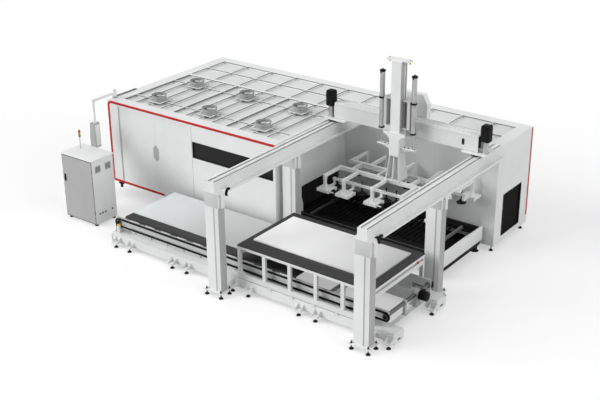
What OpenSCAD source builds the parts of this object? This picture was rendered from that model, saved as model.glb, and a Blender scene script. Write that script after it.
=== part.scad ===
/* [Enclosure] */
// Length of the rear cabinet row
enclosure_l = 9250; // [8800:10:9600]
// Length of the cutting cabin
cabin_l = 5200; // [5100:10:5260]
// Depth of the cutting cabin in front of the row
cabin_d = 2695; // [2600:5:2900]
// Depth of the rear cabinet row
row_d = 1625; // [1400:5:1900]
// Height of the roof above the floor
enclosure_h = 2535; // [2450:5:2700]
// Height of the cabin skirt above the floor
cabin_floor_z = 410; // [360:5:440]
// Height of the row's underside above the floor
row_floor_z = 150; // [120:5:200]
// Thickness of the cabin side walls
wall_t = 40; // [30:1:60]
// Thickness of the cabin front panel
front_t = 16; // [10:1:24]
// Depth of the roof tray with its ribs
roof_t = 100; // [80:1:120]
// Depth of the sunk roof fields
field_depth = 55; // [30:1:65]
// Plain band round the sunk roof fields
roof_band = 280; // [220:5:320]
// Width of a main roof rib
main_rib_w = 60; // [40:1:80]
// Width of a thin roof rib
thin_rib_w = 26; // [16:1:34]
// Width of the painted trim line
trim_w = 58; // [30:1:70]
// How far the trim line stands proud
trim_t = 6; // [3:1:10]

/* [Cabin front] */
// Left edge of the sliding door opening
door_x = 360; // [340:5:400]
// Width of the sliding door opening
door_opening_w = 2370; // [2200:5:2500]
// Bottom of the door opening above the floor
door_z = 480; // [470:5:540]
// Thickness of a sliding door
door_t = 26; // [18:1:34]
// How far a door laps behind the front panel
door_lap = 18; // [12:1:24]
// Left edge of the window
window_x = 2770; // [2750:5:2900]
// Distance from the window to the cabin's right end
window_end = 80; // [60:5:200]
// Bottom of the window above the floor
window_z = 1670; // [1500:5:1750]
// Height of the window
window_h = 370; // [300:5:450]

/* [Roof fans] */
// Outer diameter of a fan drum
fan_d = 350; // [300:2:380]
// Height of a fan drum
fan_h = 146; // [136:2:220]
// Wall of a fan drum
fan_wall = 8; // [5:1:12]
// Number of blades on a rotor
fan_blades = 7; // [5:1:9]

/* [Exchange table] */
// Height of the slat tips above the floor
table_z = 610; // [560:5:640]
// Front edge of the table, behind the cabin front
table_y = 885; // [860:5:920]
// Length of the table
table_l = 3780; // [3600:10:3900]
// Length of the exchange pallet
pallet_l = 3120; // [2900:10:3200]
// Width of the exchange pallet
pallet_w = 1420; // [1300:10:1440]
// Spacing of the toothed slats
slat_pitch = 120; // [100:5:200]
// Spacing of the teeth along a slat
tooth_pitch = 71; // [60:1:110]

/* [Loading gantry] */
// Left beam centre from the cabin's right end
gantry_gap = 290; // [280:5:320]
// Distance between the beam centres
gantry_span = 3672; // [3600:2:3760]
// Width of a gantry beam
beam_w = 220; // [180:2:240]
// Height of a gantry beam
beam_h = 240; // [200:2:280]
// Height of the beam tops above the floor
beam_top_z = 2597; // [2560:1:2700]
// Width of a column
col_w = 350; // [300:5:370]
// Depth of a column
col_d = 205; // [180:5:230]
// Front column centre, ahead of the cabin front
col_front = 2360; // [2300:5:2450]
// Rear column centre, behind the cabin front
col_rear = 210; // [190:5:260]
// Front face of the bridge, behind the cabin front
bridge_y = 1840; // [1800:5:1880]
// Depth of the bridge beam
bridge_d = 300; // [240:5:320]
// Height of the bridge beam
bridge_h = 365; // [300:5:420]
// Width of the lifting mast
mast_w = 236; // [200:2:250]
// Depth of the lifting mast
mast_d = 260; // [220:2:280]
// Front face of the mast, behind the cabin front
mast_y = 1490; // [1480:2:1500]
// Top of the lifting mast above the floor
mast_top_z = 4420; // [4300:5:4600]
// Diameter of a balance cylinder
cylinder_d = 110; // [90:1:120]
// Top of the balance cylinders above the floor
cylinder_top_z = 4150; // [4050:5:4200]
// Bottom of the balance cylinders above the floor
cylinder_bottom_z = 2840; // [2800:5:2900]
// Distance between the balance cylinders
cylinder_span = 800; // [780:2:840]

/* [Suction frame] */
// Top of the suction frame rails above the floor
suction_z = 1720; // [1700:5:1780]
// Length of the two long rails
suction_l = 2900; // [2700:10:2980]
// Distance between the two long rails
suction_rail_gap = 450; // [420:5:480]
// Section of the rails
suction_rail = 80; // [70:1:90]
// Reach of an arm from its rail
arm_reach = 600; // [560:5:620]
// Drop of an arm to its plate
arm_drop = 345; // [330:5:360]
// Diameter of a suction cup
cup_d = 220; // [180:2:240]

/* [Material cart] */
// Length of the cart
cart_l = 3347; // [3200:1:3400]
// Width of the cart
cart_w = 1940; // [1930:1:1950]
// Left edge of the cart from the enclosure's left face
cart_x = 5756; // [5740:2:5800]
// Height of the cart's board above the floor
cart_z = 1090; // [1050:5:1110]
// Height of the cart's lower rail above the floor
cart_rail_z = 320; // [316:1:330]
// Number of bays along the cart
cart_bays = 5; // [4:1:7]
// Length of the sheets
sheet_l = 3000; // [2800:10:3100]
// Width of the sheets
sheet_w = 1380; // [1300:10:1500]
// Thickness of the stack of sheets on the cart
sheet_t = 28; // [10:1:30]

/* [Low pallet] */
// Left edge of the low pallet from the enclosure's left face
low_x = 2320; // [2290:5:2360]
// Length of the low pallet
low_l = 4850; // [4700:10:4900]
// Width of the low pallet
low_w = 1640; // [1630:5:1700]
// Height of the low pallet's board above the floor
low_z = 730; // [720:1:745]

/* [Chain conveyor] */
// Left end of the base from the enclosure's left face
base_x = 1990; // [1960:5:2020]
// Length of the base beams
base_l = 7630; // [7600:5:7700]
// Width of a base beam
base_w = 320; // [280:5:340]
// Top of the base beams above the floor
base_top_z = 300; // [280:1:306]
// Spacing of the foot pairs
foot_pitch = 1738; // [1700:1:1760]
// Distance between the two feet of a pair
foot_pair = 420; // [380:5:460]
// Radius of the chain's middle line on a sprocket
chain_r = 84; // [80:1:90]
// Height of the chain shafts above the floor
chain_z = 518; // [508:1:524]
// Teeth on a chain sprocket
sprocket_teeth = 14; // [12:1:18]

/* [Control cabinet] */
// Left side of the control cabinet from the enclosure's left face
cabinet_x = 36; // [20:2:80]
// Front of the control cabinet, ahead of the cabin front
cabinet_front = 1615; // [1580:5:1660]
// Width of the control cabinet
cabinet_w = 1010; // [900:5:1060]
// Depth of the control cabinet
cabinet_d = 700; // [600:5:760]
// Height of the control cabinet's shell
cabinet_top_z = 1650; // [1500:5:1700]
// Height of the operator arm above the floor
arm_z = 2660; // [2640:5:2720]
// Reach of the operator arm
arm_l = 710; // [650:5:760]

/* [Hidden] */
$fn = 48;

// Overrun of cuts, running gap of flat slides and radial gap of shafts
over = 1;
slide_gap = 0.3;
shaft_gap = 0.08;

// Colours of the finishes
white_paint = "#e6e7e8";
grey_paint = "#b9bbbd";
red_paint = "#8f2026";
black_paint = "#161718";
dark_board = "#3a3b3d";
bright_sheet = "#dde2e4";
steel = "#a9adb0";
rubber = "#1b1b1b";
buffer_yellow = "#c8d42a";
tinted_glass = "#23282a";

// Enclosure places, measured from the left face, the cabin front and the floor
wall_top_z = enclosure_h - roof_t;
row_y = cabin_d;
row_back_y = cabin_d + row_d;
cabin_inner_d = cabin_d - front_t;
field_z = enclosure_h - field_depth;

// Cabin legs
leg_w = 80;
leg_bottom_z = 100;
leg_back = 760;
leg_xs = [0, cabin_l - leg_w];
leg_ys = [leg_back, cabin_d - leg_w];

// Roof ribs
bay_count = 3;
bay_l = (cabin_l - roof_band - main_rib_w) / bay_count;
thin_shares = [0.25, 0.5, 0.75];
fan_row_shares = [0.174, 0.745];
field_d = cabin_d - roof_band;
row_rib_pitch = bay_l / 2;
row_rib_w = 34;
row_field_l = enclosure_l - 2 * roof_band;
row_rib_count = floor(row_field_l / row_rib_pitch);

// Trim lines
trim_edge = 10;
trim_r = 130;
trim_end_z = 360;

// Doors
door_clear = 3;
door_gap_w = 4;
door_top_z = wall_top_z - door_lap - door_clear;
door_h = door_top_z - door_z;
door_y = front_t + door_clear;
door_mid_x = door_x + door_opening_w / 2;
door_w = door_opening_w / 2 + door_lap - door_gap_w / 2;
track_h = 22;
track_lip = 15;
grip_w = 180;
grip_h = 430;
grip_tip = 90;
grip_depth = door_t / 2;
grip_z = 1465;
window_rim = 14;
window_w = cabin_l - window_x - window_end;

// Fans
fan_edge = 45;
fan_base = fan_d + 2 * fan_edge;
fan_base_t = 14;
fan_bore_r = fan_d / 2 - fan_wall;
fan_tip_gap = 6;
fan_lip = 8;
fan_lip_h = 12;
hub_r = 62;
hub_h = 70;
fan_motor_r = 55;
blade_t = 5;
blade_w = 90;
blade_root = 24;
blade_sweep = 5;
blade_pitch = 32;
strut_w = 12;
fan_shaft_r = 9;
fan_seat_h = 50;
fan_shaft_l = fan_seat_h - fan_base_t;
fan_places = [for (row = fan_row_shares) for (bay = [0 : bay_count - 1])
  [roof_band + (bay + 0.5) * bay_l, roof_band + row * field_d]];

// Exchange table
table_margin_back = 95;
table_x = cabin_l;
table_w = cabin_d - table_y - table_margin_back;
table_rail_h = 130;
table_rail_w = 70;
table_rail_drop = 10;
table_leg_w = 90;
table_leg_inset = 70;
table_leg_shares = [0, 0.5, 1];
table_leg_xs = [for (s = table_leg_shares)
  table_x + table_leg_inset + s * (table_l - 2 * table_leg_inset - table_leg_w)];
pallet_shift = 60;
pallet_h = 110;
pallet_side_w = 50;
pallet_y = table_y + table_rail_w + (table_w - 2 * table_rail_w - pallet_w) / 2;
pallet_x = table_x + (table_l - pallet_l) / 2 - pallet_shift;
pallet_bottom_z = table_z - pallet_h;
slat_t = 5;
slat_h = 90;
tooth_h = 26;
slat_count = floor((pallet_l - 2 * pallet_side_w) / slat_pitch) - 1;
slat_l = pallet_w - 2 * pallet_side_w;
tooth_count = floor(slat_l / tooth_pitch);
runner_h = 24;
runner_top_z = pallet_bottom_z - slide_gap;
table_runner_reach = pallet_y + pallet_side_w - table_y - table_rail_w;
side_plate_t = 30;
side_plate_z = 310;
side_plate_over = 30;
scrap_z = 120;
scrap_t = 60;
pan_t = 6;
table_pad_r = 95;
table_pad_h = 36;

// Pallet port in the cabin's right wall
port_margin = 30;
port_y0 = table_y + table_rail_w;
port_y1 = pallet_y + pallet_w + port_margin;
port_top_z = 1210;
port_bottom_z = cabin_floor_z - over;
port_chamfer_z = 760;
port_chamfer_h = 200;
port_chamfer_w = 60;

// Machine bed inside the cabin
bed_x = 260;
bed_end_gap = 160;
bed_side_gap = 45;
bed_top_z = 780;
bed_bottom_z = 120;
bed_wall_w = 150;
bed_skin = 14;
bed_l = cabin_l - bed_x - bed_end_gap;
bed_y0 = pallet_y - bed_side_gap - bed_wall_w;
bed_y1 = pallet_y + pallet_w + bed_side_gap;
bed_rail_w = 40;
bed_rail_h = 36;
bed_cross_h = 180;
bed_cross_w = 160;
bed_cross_count = 4;
bed_foot_inset = 75;
bed_tie_z = 300;
bed_tie_h = 120;
runner_reach = bed_side_gap + pallet_side_w;

// Cutting gantry inside the cabin
cut_x = 420;
cut_beam_w = 240;
cut_beam_h = 260;
cut_foot_l = 340;
cut_foot_h = 190;
cut_carriage_w = 300;
cut_carriage_h = 380;
cut_carriage_t = 90;
cut_carriage_drop = 60;
cut_head_r = 42;
cut_head_l = 420;
cut_nozzle_r = 9;
cut_nozzle_z = 760;
cut_cone_h = 70;
cut_clamp = 70;
cut_beam_z = bed_top_z + bed_rail_h + slide_gap + cut_foot_h;
cut_carriage_z = cut_beam_z - cut_carriage_drop;
cut_y_share = 0.4;
cut_y = pallet_y + cut_y_share * (pallet_w - cut_carriage_w);

// Loading gantry
beam_nose = 18;
gantry_x = cabin_l + gantry_gap;
beam_xs = [gantry_x, gantry_x + gantry_span];
gantry_cx = gantry_x + gantry_span / 2;
beam_bottom_z = beam_top_z - beam_h;
beam_front = col_front + col_d / 2 + beam_nose;
beam_wall = 10;
rail_w = 34;
rail_h = 30;
rail_inset = 26;
rail_end = 20;
rail_z = beam_top_z + rail_h;
tray_w = 150;
tray_h = 46;
tray_t = 4;
tray_end_gap = 330;
tray_back_gap = 20;
col_foot_dx = 193;
col_foot_dy = 136;
col_plate_edge = 45;
col_plate_l = 2 * col_foot_dx + 2 * col_plate_edge;
col_plate_w = 2 * col_foot_dy + 2 * col_plate_edge;
col_plate_t = 20;
col_bottom_z = 110;
col_groove_w = 16;
col_groove_d = 6;
col_groove_shares = [0.66, 0.84];
col_wall = 10;
col_cap_t = 16;
col_ear_h = 320;
col_ear_t = 55;
col_ear_w = 90;
col_places = [for (x = beam_xs) for (y = [-col_front, col_rear]) [x, y]];

// Bridge
carriage_front = 100;
carriage_in = 345;
carriage_out = 225;
carriage_plate_t = 18;
carriage_block_h = 26;
carriage_block_l = 110;
carriage_block_w = 66;
bridge_wall = 12;
bridge_pocket = 90;
bridge_z = rail_z + slide_gap + carriage_block_h + carriage_plate_t;
bridge_top_z = bridge_z + bridge_h;
bridge_x0 = beam_xs[0];
bridge_l = gantry_span;
bridge_ridge_w = 40;
bridge_ridge_h = 14;
bridge_ridge_shares = [0.08, 0.44, 0.8];
bridge_slot_w = 46;
bridge_slot_h = 110;
bridge_slot_inset = 330;
motor_offset = 140;
motor_xs = [beam_xs[0] - motor_offset, beam_xs[1] + motor_offset];
motor_w = 190;
motor_h = 340;
motor_corner = 26;
motor_y_share = 0.27;
motor_y = bridge_y + motor_y_share * bridge_d;
gearbox_r = 62;
gearbox_h = 270;
gearbox_flange = 130;
gearbox_flange_t = 20;

// Mast and its carriage
mast_wall = 12;
mast_bottom_z = 2290;
mast_slide = 0.3;
mast_x0 = gantry_cx - mast_w / 2;
mast_back_y = mast_y + mast_d;
mast_groove_w = 40;
mast_groove_d = 6;
mast_groove_y = 150;
rack_pitch = 40;
rack_w = 20;
rack_depth = 8;
rack_gap_share = 0.5;
box_z = 2930;
box_h = 640;
box_side_w = 200;
box_side_back = 60;
box_side_y = mast_y + box_side_back;
box_wall = 20;
box_front_w = 70;
box_pocket_d = 150;
box_slot_gap = 12;
box_back_t = bridge_y - mast_back_y - mast_slide;
box_x0 = mast_x0 - box_slot_gap - box_side_w;
box_w = mast_w + 2 * box_slot_gap + 2 * box_side_w;
shoe_h = 90;
shoe_d = 40;
cap_l = 560;
cap_t = 36;
cap_d = 150;
buffer_r = 24;
buffer_h = 46;
buffer_inset = 30;
clamp_h = 40;
clamp_t = 12;
cap_h = 34;
cap_rim = 9;
cap_r = cylinder_d / 2 + cap_rim;
rod_r = 9;
rod_top_z = 3300;
cylinder_wall = 8;
cylinder_bore_r = cylinder_d / 2 - cylinder_wall;
cylinder_back = 100;
cylinder_y = mast_y + cylinder_back;
cylinder_xs = [gantry_cx - cylinder_span / 2, gantry_cx + cylinder_span / 2];
clamp_z = 3520;
clamp_reach = cylinder_span / 2 - box_w / 2;
cover_lap = 76;
cover_w = 808;
cover_h = 600;
cover_d = 150;
cover_z = bridge_top_z - cover_lap;
cover_chamfer = 206;
cover_slope_share = 0.55;
cover_y = bridge_y + bridge_d;

// Mast head
flare_w = 540;
flare_h = 60;
flare_top_z = 2830;
flare_r = 150;
head_plate_t = 24;
wing_l = 954;
wing_t = 18;
wing_d = 120;
wing_z = 2480;
wing_rib_h = 110;
wing_rib_t = 60;
wing_tip_h = 14;
wing_root = 24;
foot_w = 360;
foot_d = 420;
foot_plate_t = 24;
foot_rib_t = 16;
foot_splay = atan((foot_w - mast_w - foot_rib_t) / 2 / (mast_bottom_z - suction_z));
bolt_h = 20;
rack_count = floor((mast_top_z - flare_top_z) / rack_pitch) - 1;

// Suction frame
suction_back = 95;
suction_cy = mast_y + mast_d / 2 + suction_back;
suction_ys = [suction_cy - suction_rail_gap / 2, suction_cy + suction_rail_gap / 2];
suction_x0 = gantry_cx - suction_l / 2;
arm_shares = [-0.97, -0.62, -0.1, 0.42, 0.97];
tie_shares = [-0.76, -0.3, 0, 0.3, 0.76];
arm_w = 60;
arm_h = 66;
arm_y0 = suction_rail_gap / 2 + suction_rail / 2;
cup_plate_in = 193;
cup_plate_l = 318;
cup_plate_w = 340;
cup_plate_t = 66;
cup_plate_y = arm_y0 + arm_reach - arm_w - cup_plate_in;
cup_drop = 88;
cup_cone_h = 36;
cup_neck_r = 20;
cup_lip = 12;
cup_shares = [-0.93, -0.46, -0.02, 0.16, 0.47, 0.93];
tie_w = 60;
lower_rail = 56;
lower_rail_in = 167;
lower_rail_y = cup_plate_y - lower_rail_in;
lower_rail_lift = 75;
tongue_t = 30;
arm_foot_z = suction_z - arm_drop;
cup_bottom_z = arm_foot_z - cup_drop;
cup_stem_h = cup_drop + lower_rail_lift - cup_lip - cup_cone_h;

// Conveyor base under the cart
cart_back_gap = 71;
cart_front_y = -(cart_back_gap + cart_w);
cart_mid_y = cart_front_y + cart_w / 2;
base_inset = 5;
base_ys = [cart_front_y + base_inset, cart_front_y + cart_w - base_inset - base_w];
base_bottom_z = 92;
base_wall = 10;
foot_start = 191;
foot_x0 = base_x + foot_start;
foot_inset = 80;
foot_pairs = 5;
tab_l = 150;
tab_t = 16;
tab_z = 106;
gusset_t = 10;
gusset_h = 112;
cross_w = 110;
cross_h = 110;
cross_z = 130;
end_plate_t = 12;
end_plate_over = 14;
end_cap_l = 256;
end_chamfer = 44;

// Levelling feet
pad_r = 48;
pad_h = 12;
cone_top_r = 20;
cone_h = 28;
stud_r = 12;
nut_r = 21;
nut_h = 14;

// Chain tracks
track_t = 30;
track_inset = 165;
track_ys = [base_ys[0] + track_inset, base_ys[1] + base_w - track_inset - track_t];
chain_w = 30;
chain_t = 34;
chain_front_gap = 4;
chain_ys = [track_ys[0] - chain_front_gap - chain_w, track_ys[1] + track_t + chain_front_gap];
chain_start = 92;
chain_span = 7236;
chain_xs = [base_x + chain_start, base_x + chain_start + chain_span];
track_end = 60;
track_x0 = chain_xs[0] - track_end;
track_l = chain_span + 2 * track_end;
track_cover = 25;
notch_l = 330;
notch_drop = 60;
track_top_z = chain_z + chain_r + chain_t / 2 + track_cover;
ledge_t = 10;
ledge_w = chain_front_gap + chain_w;
shaft_r = 30;
shaft_over = 14;
sprocket_w = 22;
sprocket_gap = 1;
sprocket_tooth_h = 14;
sprocket_tip_r = chain_r - chain_t / 2 - sprocket_gap;
sprocket_root_r = sprocket_tip_r - sprocket_tooth_h;
tooth_shares = [0.1, 0.35, 0.65, 0.9];
gear_w = 150;
gear_l = 130;
gear_h = 160;
chain_motor_r = 78;
gear_shift = 336;
gear_y = cart_mid_y + gear_shift;
chain_motor_l = 130;
fan_cowl_l = 46;
fan_cowl_r = 82;
pedestal_w = 90;
tie_xs = concat([for (i = [0 : foot_pairs - 2]) foot_x0 + i * foot_pitch + foot_pair / 2], [chain_xs[1]]);

// Cart
rail_sec = 60;
cart_post_w = 80;
board_t = 26;
cart_rail_h = 118;
end_rail_z = 858;
end_rail_h = 88;
cart_top_rail_h = 60;
cart_sheet_dx = 150;
cart_sheet_dy = 351;
cart_shoe_l = 110;
cart_shoe_count = 6;
shoe_w = 44;
clip_l = 100;
clip_h = 96;
clip_t = 8;
clip_drop = 46;
clip_z = base_top_z - clip_drop;

// Low pallet
low_board_t = 24;
low_y = cart_mid_y - low_w / 2;
low_frame_h = low_z - low_board_t - track_top_z - slide_gap;
low_sheet_t = 10;
low_sheet_dy = 245;
low_sheet_end = 170;
low_sheet_l = low_l - low_sheet_end;
low_sheet_w = low_w - low_sheet_dy;
low_shoe_l = 270;
low_shoe_in = 150;
low_shoe_count = 10;

// Control cabinet
cabinet_y = -cabinet_front;
cabinet_bottom_z = 60;
cabinet_wall = 25;
cabinet_r = 36;
cab_door_t = 24;
cab_door_gap = 4;
cab_door_edge = 16;
hinge_r = 11;
hinge_l = 130;
hinge_leaf = 30;
hinge_front = 12;
hinge_grip = 52;
hinge_side_w = 14;
pin_r = 6;
hinge_x = cabinet_x + cabinet_w - cab_door_edge - cab_door_gap;
hinge_y = cabinet_y - hinge_front;
hinge_shares = [0.14, 0.8];
vent_w = 150;
vent_depth = 12;
vent_shares = [0.26, 0.72];
vent_drop = 150;
vent_slats = 6;
vent_slat_t = 8;
cabinet_foot_r = 32;
cabinet_foot_in = 70;
pole_r = 11;
pole_h = 330;
lamp_count = 3;
lamp_r = 26;
lamp_h = 52;
lamp_gap = 6;
light_x_share = 0.2;
light_y_share = 0.62;

// Operator arm and panel
arm_tube_r = 32;
arm_base_r = 60;
arm_base_h = 50;
arm_pin_r = 20;
arm_pin_h = 100;
arm_post_x = 70;
arm_post_y = 200;
arm_hub_z = enclosure_h + arm_base_h + slide_gap;
arm_hub_h = 2 * (arm_z - arm_hub_z);
elbow_r = 46;
drop_tube_r = 26;
panel_w = 170;
panel_h = 620;
panel_z = 1480;
panel_top_z = panel_z + panel_h;
panel_x = arm_post_x;
panel_y = arm_post_y - arm_l;
panel_back = 60;
panel_reach = 125;
panel_top_reach = 90;
panel_desk_share = 0.45;
panel_key_z = 60;
panel_key_h = 160;
screen_w = 120;
screen_depth = 8;
swivel_t = 20;
swivel_r = 44;
swivel_pin_r = 16;
swivel_pin_l = 80;

// Louver
louver_start = 330;
louver_y0 = row_y + louver_start;
louver_w = 905;
louver_z = 282;
louver_h = 1030;
louver_depth = 90;
louver_back = 10;
louver_frame = 36;
louver_blades = 16;
louver_blade_l = 60;
louver_blade_x = 44;
louver_blade_t = 8;
louver_tilt = 35;

// Row seams and feet
seam_w = 6;
seam_d = 6;
row_seam_shares = [0.3, 0.6, 0.906];
row_seams = [for (s = row_seam_shares) cabin_l + s * (enclosure_l - cabin_l)];
back_seam_shares = [0.14, 0.28, 0.42, 0.56, 0.7, 0.84];
back_seams = [for (s = back_seam_shares) s * enclosure_l];
row_foot_inset = 90;
row_foot_shares = [0, 0.25, 0.5, 0.75, 1];
row_foot_xs = [for (s = row_foot_shares) row_foot_inset + s * (enclosure_l - 2 * row_foot_inset)];

// Middle of the plan, so that the part's origin is under its centre
plan_x0 = panel_x - panel_reach;
plan_x1 = base_x + base_l + end_plate_t;
plan_y0 = -col_front - col_foot_dy - pad_r;
plan_y1 = row_back_y;
origin_x = (plan_x0 + plan_x1) / 2;
origin_y = (plan_y0 + plan_y1) / 2;

module at_plan() {
  translate([-origin_x, -origin_y, 0])
    children();
}

module box(x, y, z, l, w, h) {
  translate([x, y, z])
    cube([l, w, h]);
}

// A hollow rectangular tube along X, open at both ends
module tube_x(x, y, z, l, w, h, t) {
  difference() {
    box(x, y, z, l, w, h);
    box(x - over, y + t, z + t, l + 2 * over, w - 2 * t, h - 2 * t);
  }
}

// A cylinder lying along Y
module rod_y(x, y, z, r, l) {
  translate([x, y, z])
    rotate([-90, 0, 0])
      cylinder(r = r, h = l);
}

// A cylinder lying along X
module rod_x(x, y, z, r, l) {
  translate([x, y, z])
    rotate([0, 90, 0])
      cylinder(r = r, h = l);
}

// A rectangle with true arcs at its corners
module soft_square(l, w, r) {
  translate([r, 0])
    square([l - 2 * r, w]);
  translate([0, r])
    square([l, w - 2 * r]);
  for (x = [r, l - r])
    for (y = [r, w - r])
      translate([x, y])
        circle(r);
}

// An outline drawn in X and Z, pushed back along Y
module push_y(y, t) {
  translate([0, y + t, 0])
    rotate([90, 0, 0])
      linear_extrude(t)
        children();
}

// An outline drawn in Y and Z, pushed along X
module push_x(x, t) {
  translate([x, 0, 0])
    rotate([90, 0, 90])
      linear_extrude(t)
        children();
}

// Cutting cabin and rear cabinet row

module machine_bed() {
  color(grey_paint)
    at_plan() {
      for (y = [bed_y0, bed_y1]) {
        tube_x(bed_x, y, bed_bottom_z, bed_l, bed_wall_w, bed_top_z - bed_bottom_z, bed_skin);
        box(bed_x, y + (bed_wall_w - bed_rail_w) / 2, bed_top_z, bed_l, bed_rail_w, bed_rail_h);
      }
      box(bed_x, bed_y0 + bed_wall_w, runner_top_z - runner_h, bed_l, runner_reach, runner_h);
      box(bed_x, bed_y1 - runner_reach, runner_top_z - runner_h, bed_l, runner_reach, runner_h);
      for (i = [0 : bed_cross_count - 1])
        box(bed_x + i * (bed_l - bed_cross_w) / (bed_cross_count - 1), bed_y0 + bed_wall_w,
          bed_bottom_z, bed_cross_w, bed_y1 - bed_y0 - bed_wall_w, bed_cross_h);
      for (i = [0 : bed_cross_count - 1])
        box(bed_x + i * (bed_l - bed_cross_w) / (bed_cross_count - 1), bed_y1 + bed_wall_w,
          bed_tie_z, bed_cross_w, row_y - bed_y1 - bed_wall_w, bed_tie_h);
    }
}

module cabin_front() {
  color(white_paint)
    at_plan() {
      difference() {
        box(0, 0, cabin_floor_z, cabin_l, front_t, wall_top_z - cabin_floor_z);
        box(door_x, -over, door_z, door_opening_w, front_t + 2 * over, door_h);
        box(window_x, -over, window_z, window_w, front_t + 2 * over, window_h);
      }
      box(wall_t, front_t, door_z - door_lap - slide_gap - track_h,
        cabin_l - 2 * wall_t, door_clear + door_t + track_lip, track_h);
      box(wall_t, door_y + door_t + door_clear, door_z - door_lap - slide_gap,
        cabin_l - 2 * wall_t, track_lip - door_clear, track_h);
    }
}

module cabin_side_walls() {
  color(white_paint)
    at_plan() {
      box(0, front_t, cabin_floor_z, wall_t, cabin_inner_d, wall_top_z - cabin_floor_z);
      difference() {
        box(cabin_l - wall_t, front_t, cabin_floor_z, wall_t, cabin_inner_d,
          wall_top_z - cabin_floor_z);
        push_x(cabin_l - wall_t - over, wall_t + 2 * over)
          polygon([
            [port_y0 + port_chamfer_w, port_bottom_z],
            [port_y1, port_bottom_z],
            [port_y1, port_top_z],
            [port_y0, port_top_z],
            [port_y0, port_chamfer_z + port_chamfer_h],
            [port_y0 + port_chamfer_w, port_chamfer_z]
          ]);
      }
      for (x = leg_xs)
        for (y = leg_ys)
          box(x, y, leg_bottom_z, leg_w, leg_w, cabin_floor_z - leg_bottom_z);
    }
}

module cabin_roof() {
  color(white_paint)
    at_plan() {
      difference() {
        box(0, 0, wall_top_z, cabin_l, cabin_d, roof_t);
        for (bay = [0 : bay_count - 1])
          for (i = [0 : len(thin_shares)])
            for (j = [0 : len(fan_row_shares)])
              roof_field(bay, i, j);
        for (p = fan_places)
          translate([p[0], p[1], wall_top_z - over])
            cylinder(r = fan_bore_r, h = roof_t + 2 * over);
      }
    }
}

// One sunk field of the cabin roof, between its ribs
module roof_field(bay, i, j) {
  x_marks = concat([0], thin_shares, [1]);
  y_marks = concat([0], fan_row_shares, [1]);
  x0 = roof_band + (bay + x_marks[i]) * bay_l + (i == 0 ? main_rib_w / 2 : thin_rib_w / 2);
  x1 = roof_band + (bay + x_marks[i + 1]) * bay_l
    - (i == len(thin_shares) ? main_rib_w / 2 : thin_rib_w / 2);
  y0 = roof_band + y_marks[j] * field_d + (j == 0 ? 0 : thin_rib_w / 2);
  y1 = roof_band + y_marks[j + 1] * field_d
    - (j == len(fan_row_shares) ? main_rib_w : thin_rib_w / 2);
  box(x0, y0, field_z, x1 - x0, y1 - y0, field_depth + over);
}

module window_pane() {
  color(tinted_glass)
    at_plan()
      box(window_x - window_rim, front_t, window_z - window_rim,
        window_w + 2 * window_rim, door_clear - slide_gap, window_h + 2 * window_rim);
}

module red_trim() {
  color(red_paint)
    at_plan() {
      push_y(-trim_t, trim_t)
        difference() {
          trim_outline(trim_edge, trim_r);
          trim_outline(trim_edge + trim_w, trim_r - trim_w);
          translate([cabin_l - over, 0])
            square([2 * cabin_l, enclosure_h]);
        }
      box(enclosure_l, row_back_y - trim_edge - trim_w, trim_end_z,
        trim_t, trim_w, enclosure_h - trim_edge - trim_end_z);
    }
}

// Outline inside the trim line, running past the cabin's right end
module trim_outline(inset, r) {
  translate([inset, cabin_floor_z + inset - trim_edge])
    square([2 * cabin_l, enclosure_h - cabin_floor_z - 2 * inset + trim_edge - r]);
  translate([inset + r, enclosure_h - inset - r - over])
    square([2 * cabin_l, r + over]);
  translate([inset + r, enclosure_h - inset - r])
    circle(r);
}

module rear_cabinet() {
  color(white_paint)
    at_plan()
      difference() {
        box(0, row_y, row_floor_z, enclosure_l, row_d, enclosure_h - row_floor_z);
        for (i = [0 : row_rib_count])
          for (j = [0, 1])
            row_field(i, j);
        box(enclosure_l - louver_depth, louver_y0, louver_z, louver_depth + over, louver_w, louver_h);
        for (x = row_seams)
          box(x, row_y - over, row_floor_z - over, seam_w, seam_d + over, wall_top_z - row_floor_z);
        for (x = back_seams)
          box(x, row_back_y - seam_d, row_floor_z - over, seam_w, seam_d + over,
            wall_top_z - row_floor_z);
      }
}

// One sunk field of the row's roof, in front of or behind its middle rib
module row_field(i, j) {
  half = (row_d - roof_band - row_rib_w) / 2;
  x0 = roof_band + i * row_rib_pitch + row_rib_w / 2;
  x1 = min(roof_band + (i + 1) * row_rib_pitch, enclosure_l - roof_band) - row_rib_w / 2;
  y0 = row_y + main_rib_w / 2 + j * (half + row_rib_w / 2);
  if (x1 - x0 > row_rib_w)
    box(x0, y0, field_z, x1 - x0, half - row_rib_w / 2, field_depth + over);
}

module louver() {
  color(black_paint)
    at_plan() {
      difference() {
        box(enclosure_l - louver_depth, louver_y0, louver_z, louver_depth, louver_w, louver_h);
        box(enclosure_l - louver_depth + louver_back, louver_y0 + louver_frame,
          louver_z + louver_frame, louver_depth,
          louver_w - 2 * louver_frame, louver_h - 2 * louver_frame);
      }
      for (i = [0 : louver_blades - 1])
        translate([enclosure_l - louver_blade_x, louver_y0 + louver_frame,
          louver_z + louver_frame + (i + 0.5) * (louver_h - 2 * louver_frame) / louver_blades])
          rotate([0, louver_tilt, 0])
            translate([-louver_blade_l / 2, 0, -louver_blade_t / 2])
              cube([louver_blade_l, louver_w - 2 * louver_frame, louver_blade_t]);
    }
}

// One levelling foot with its stud and lock nut
module foot(x, y, h) {
  translate([x, y, 0]) {
    cylinder(r = pad_r, h = pad_h);
    translate([0, 0, pad_h])
      cylinder(r1 = pad_r, r2 = cone_top_r, h = cone_h);
    translate([0, 0, pad_h + cone_h])
      cylinder(r = stud_r, h = h - pad_h - cone_h);
    translate([0, 0, h - nut_h])
      cylinder(r = nut_r, h = nut_h, $fn = 6);
  }
}

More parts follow.
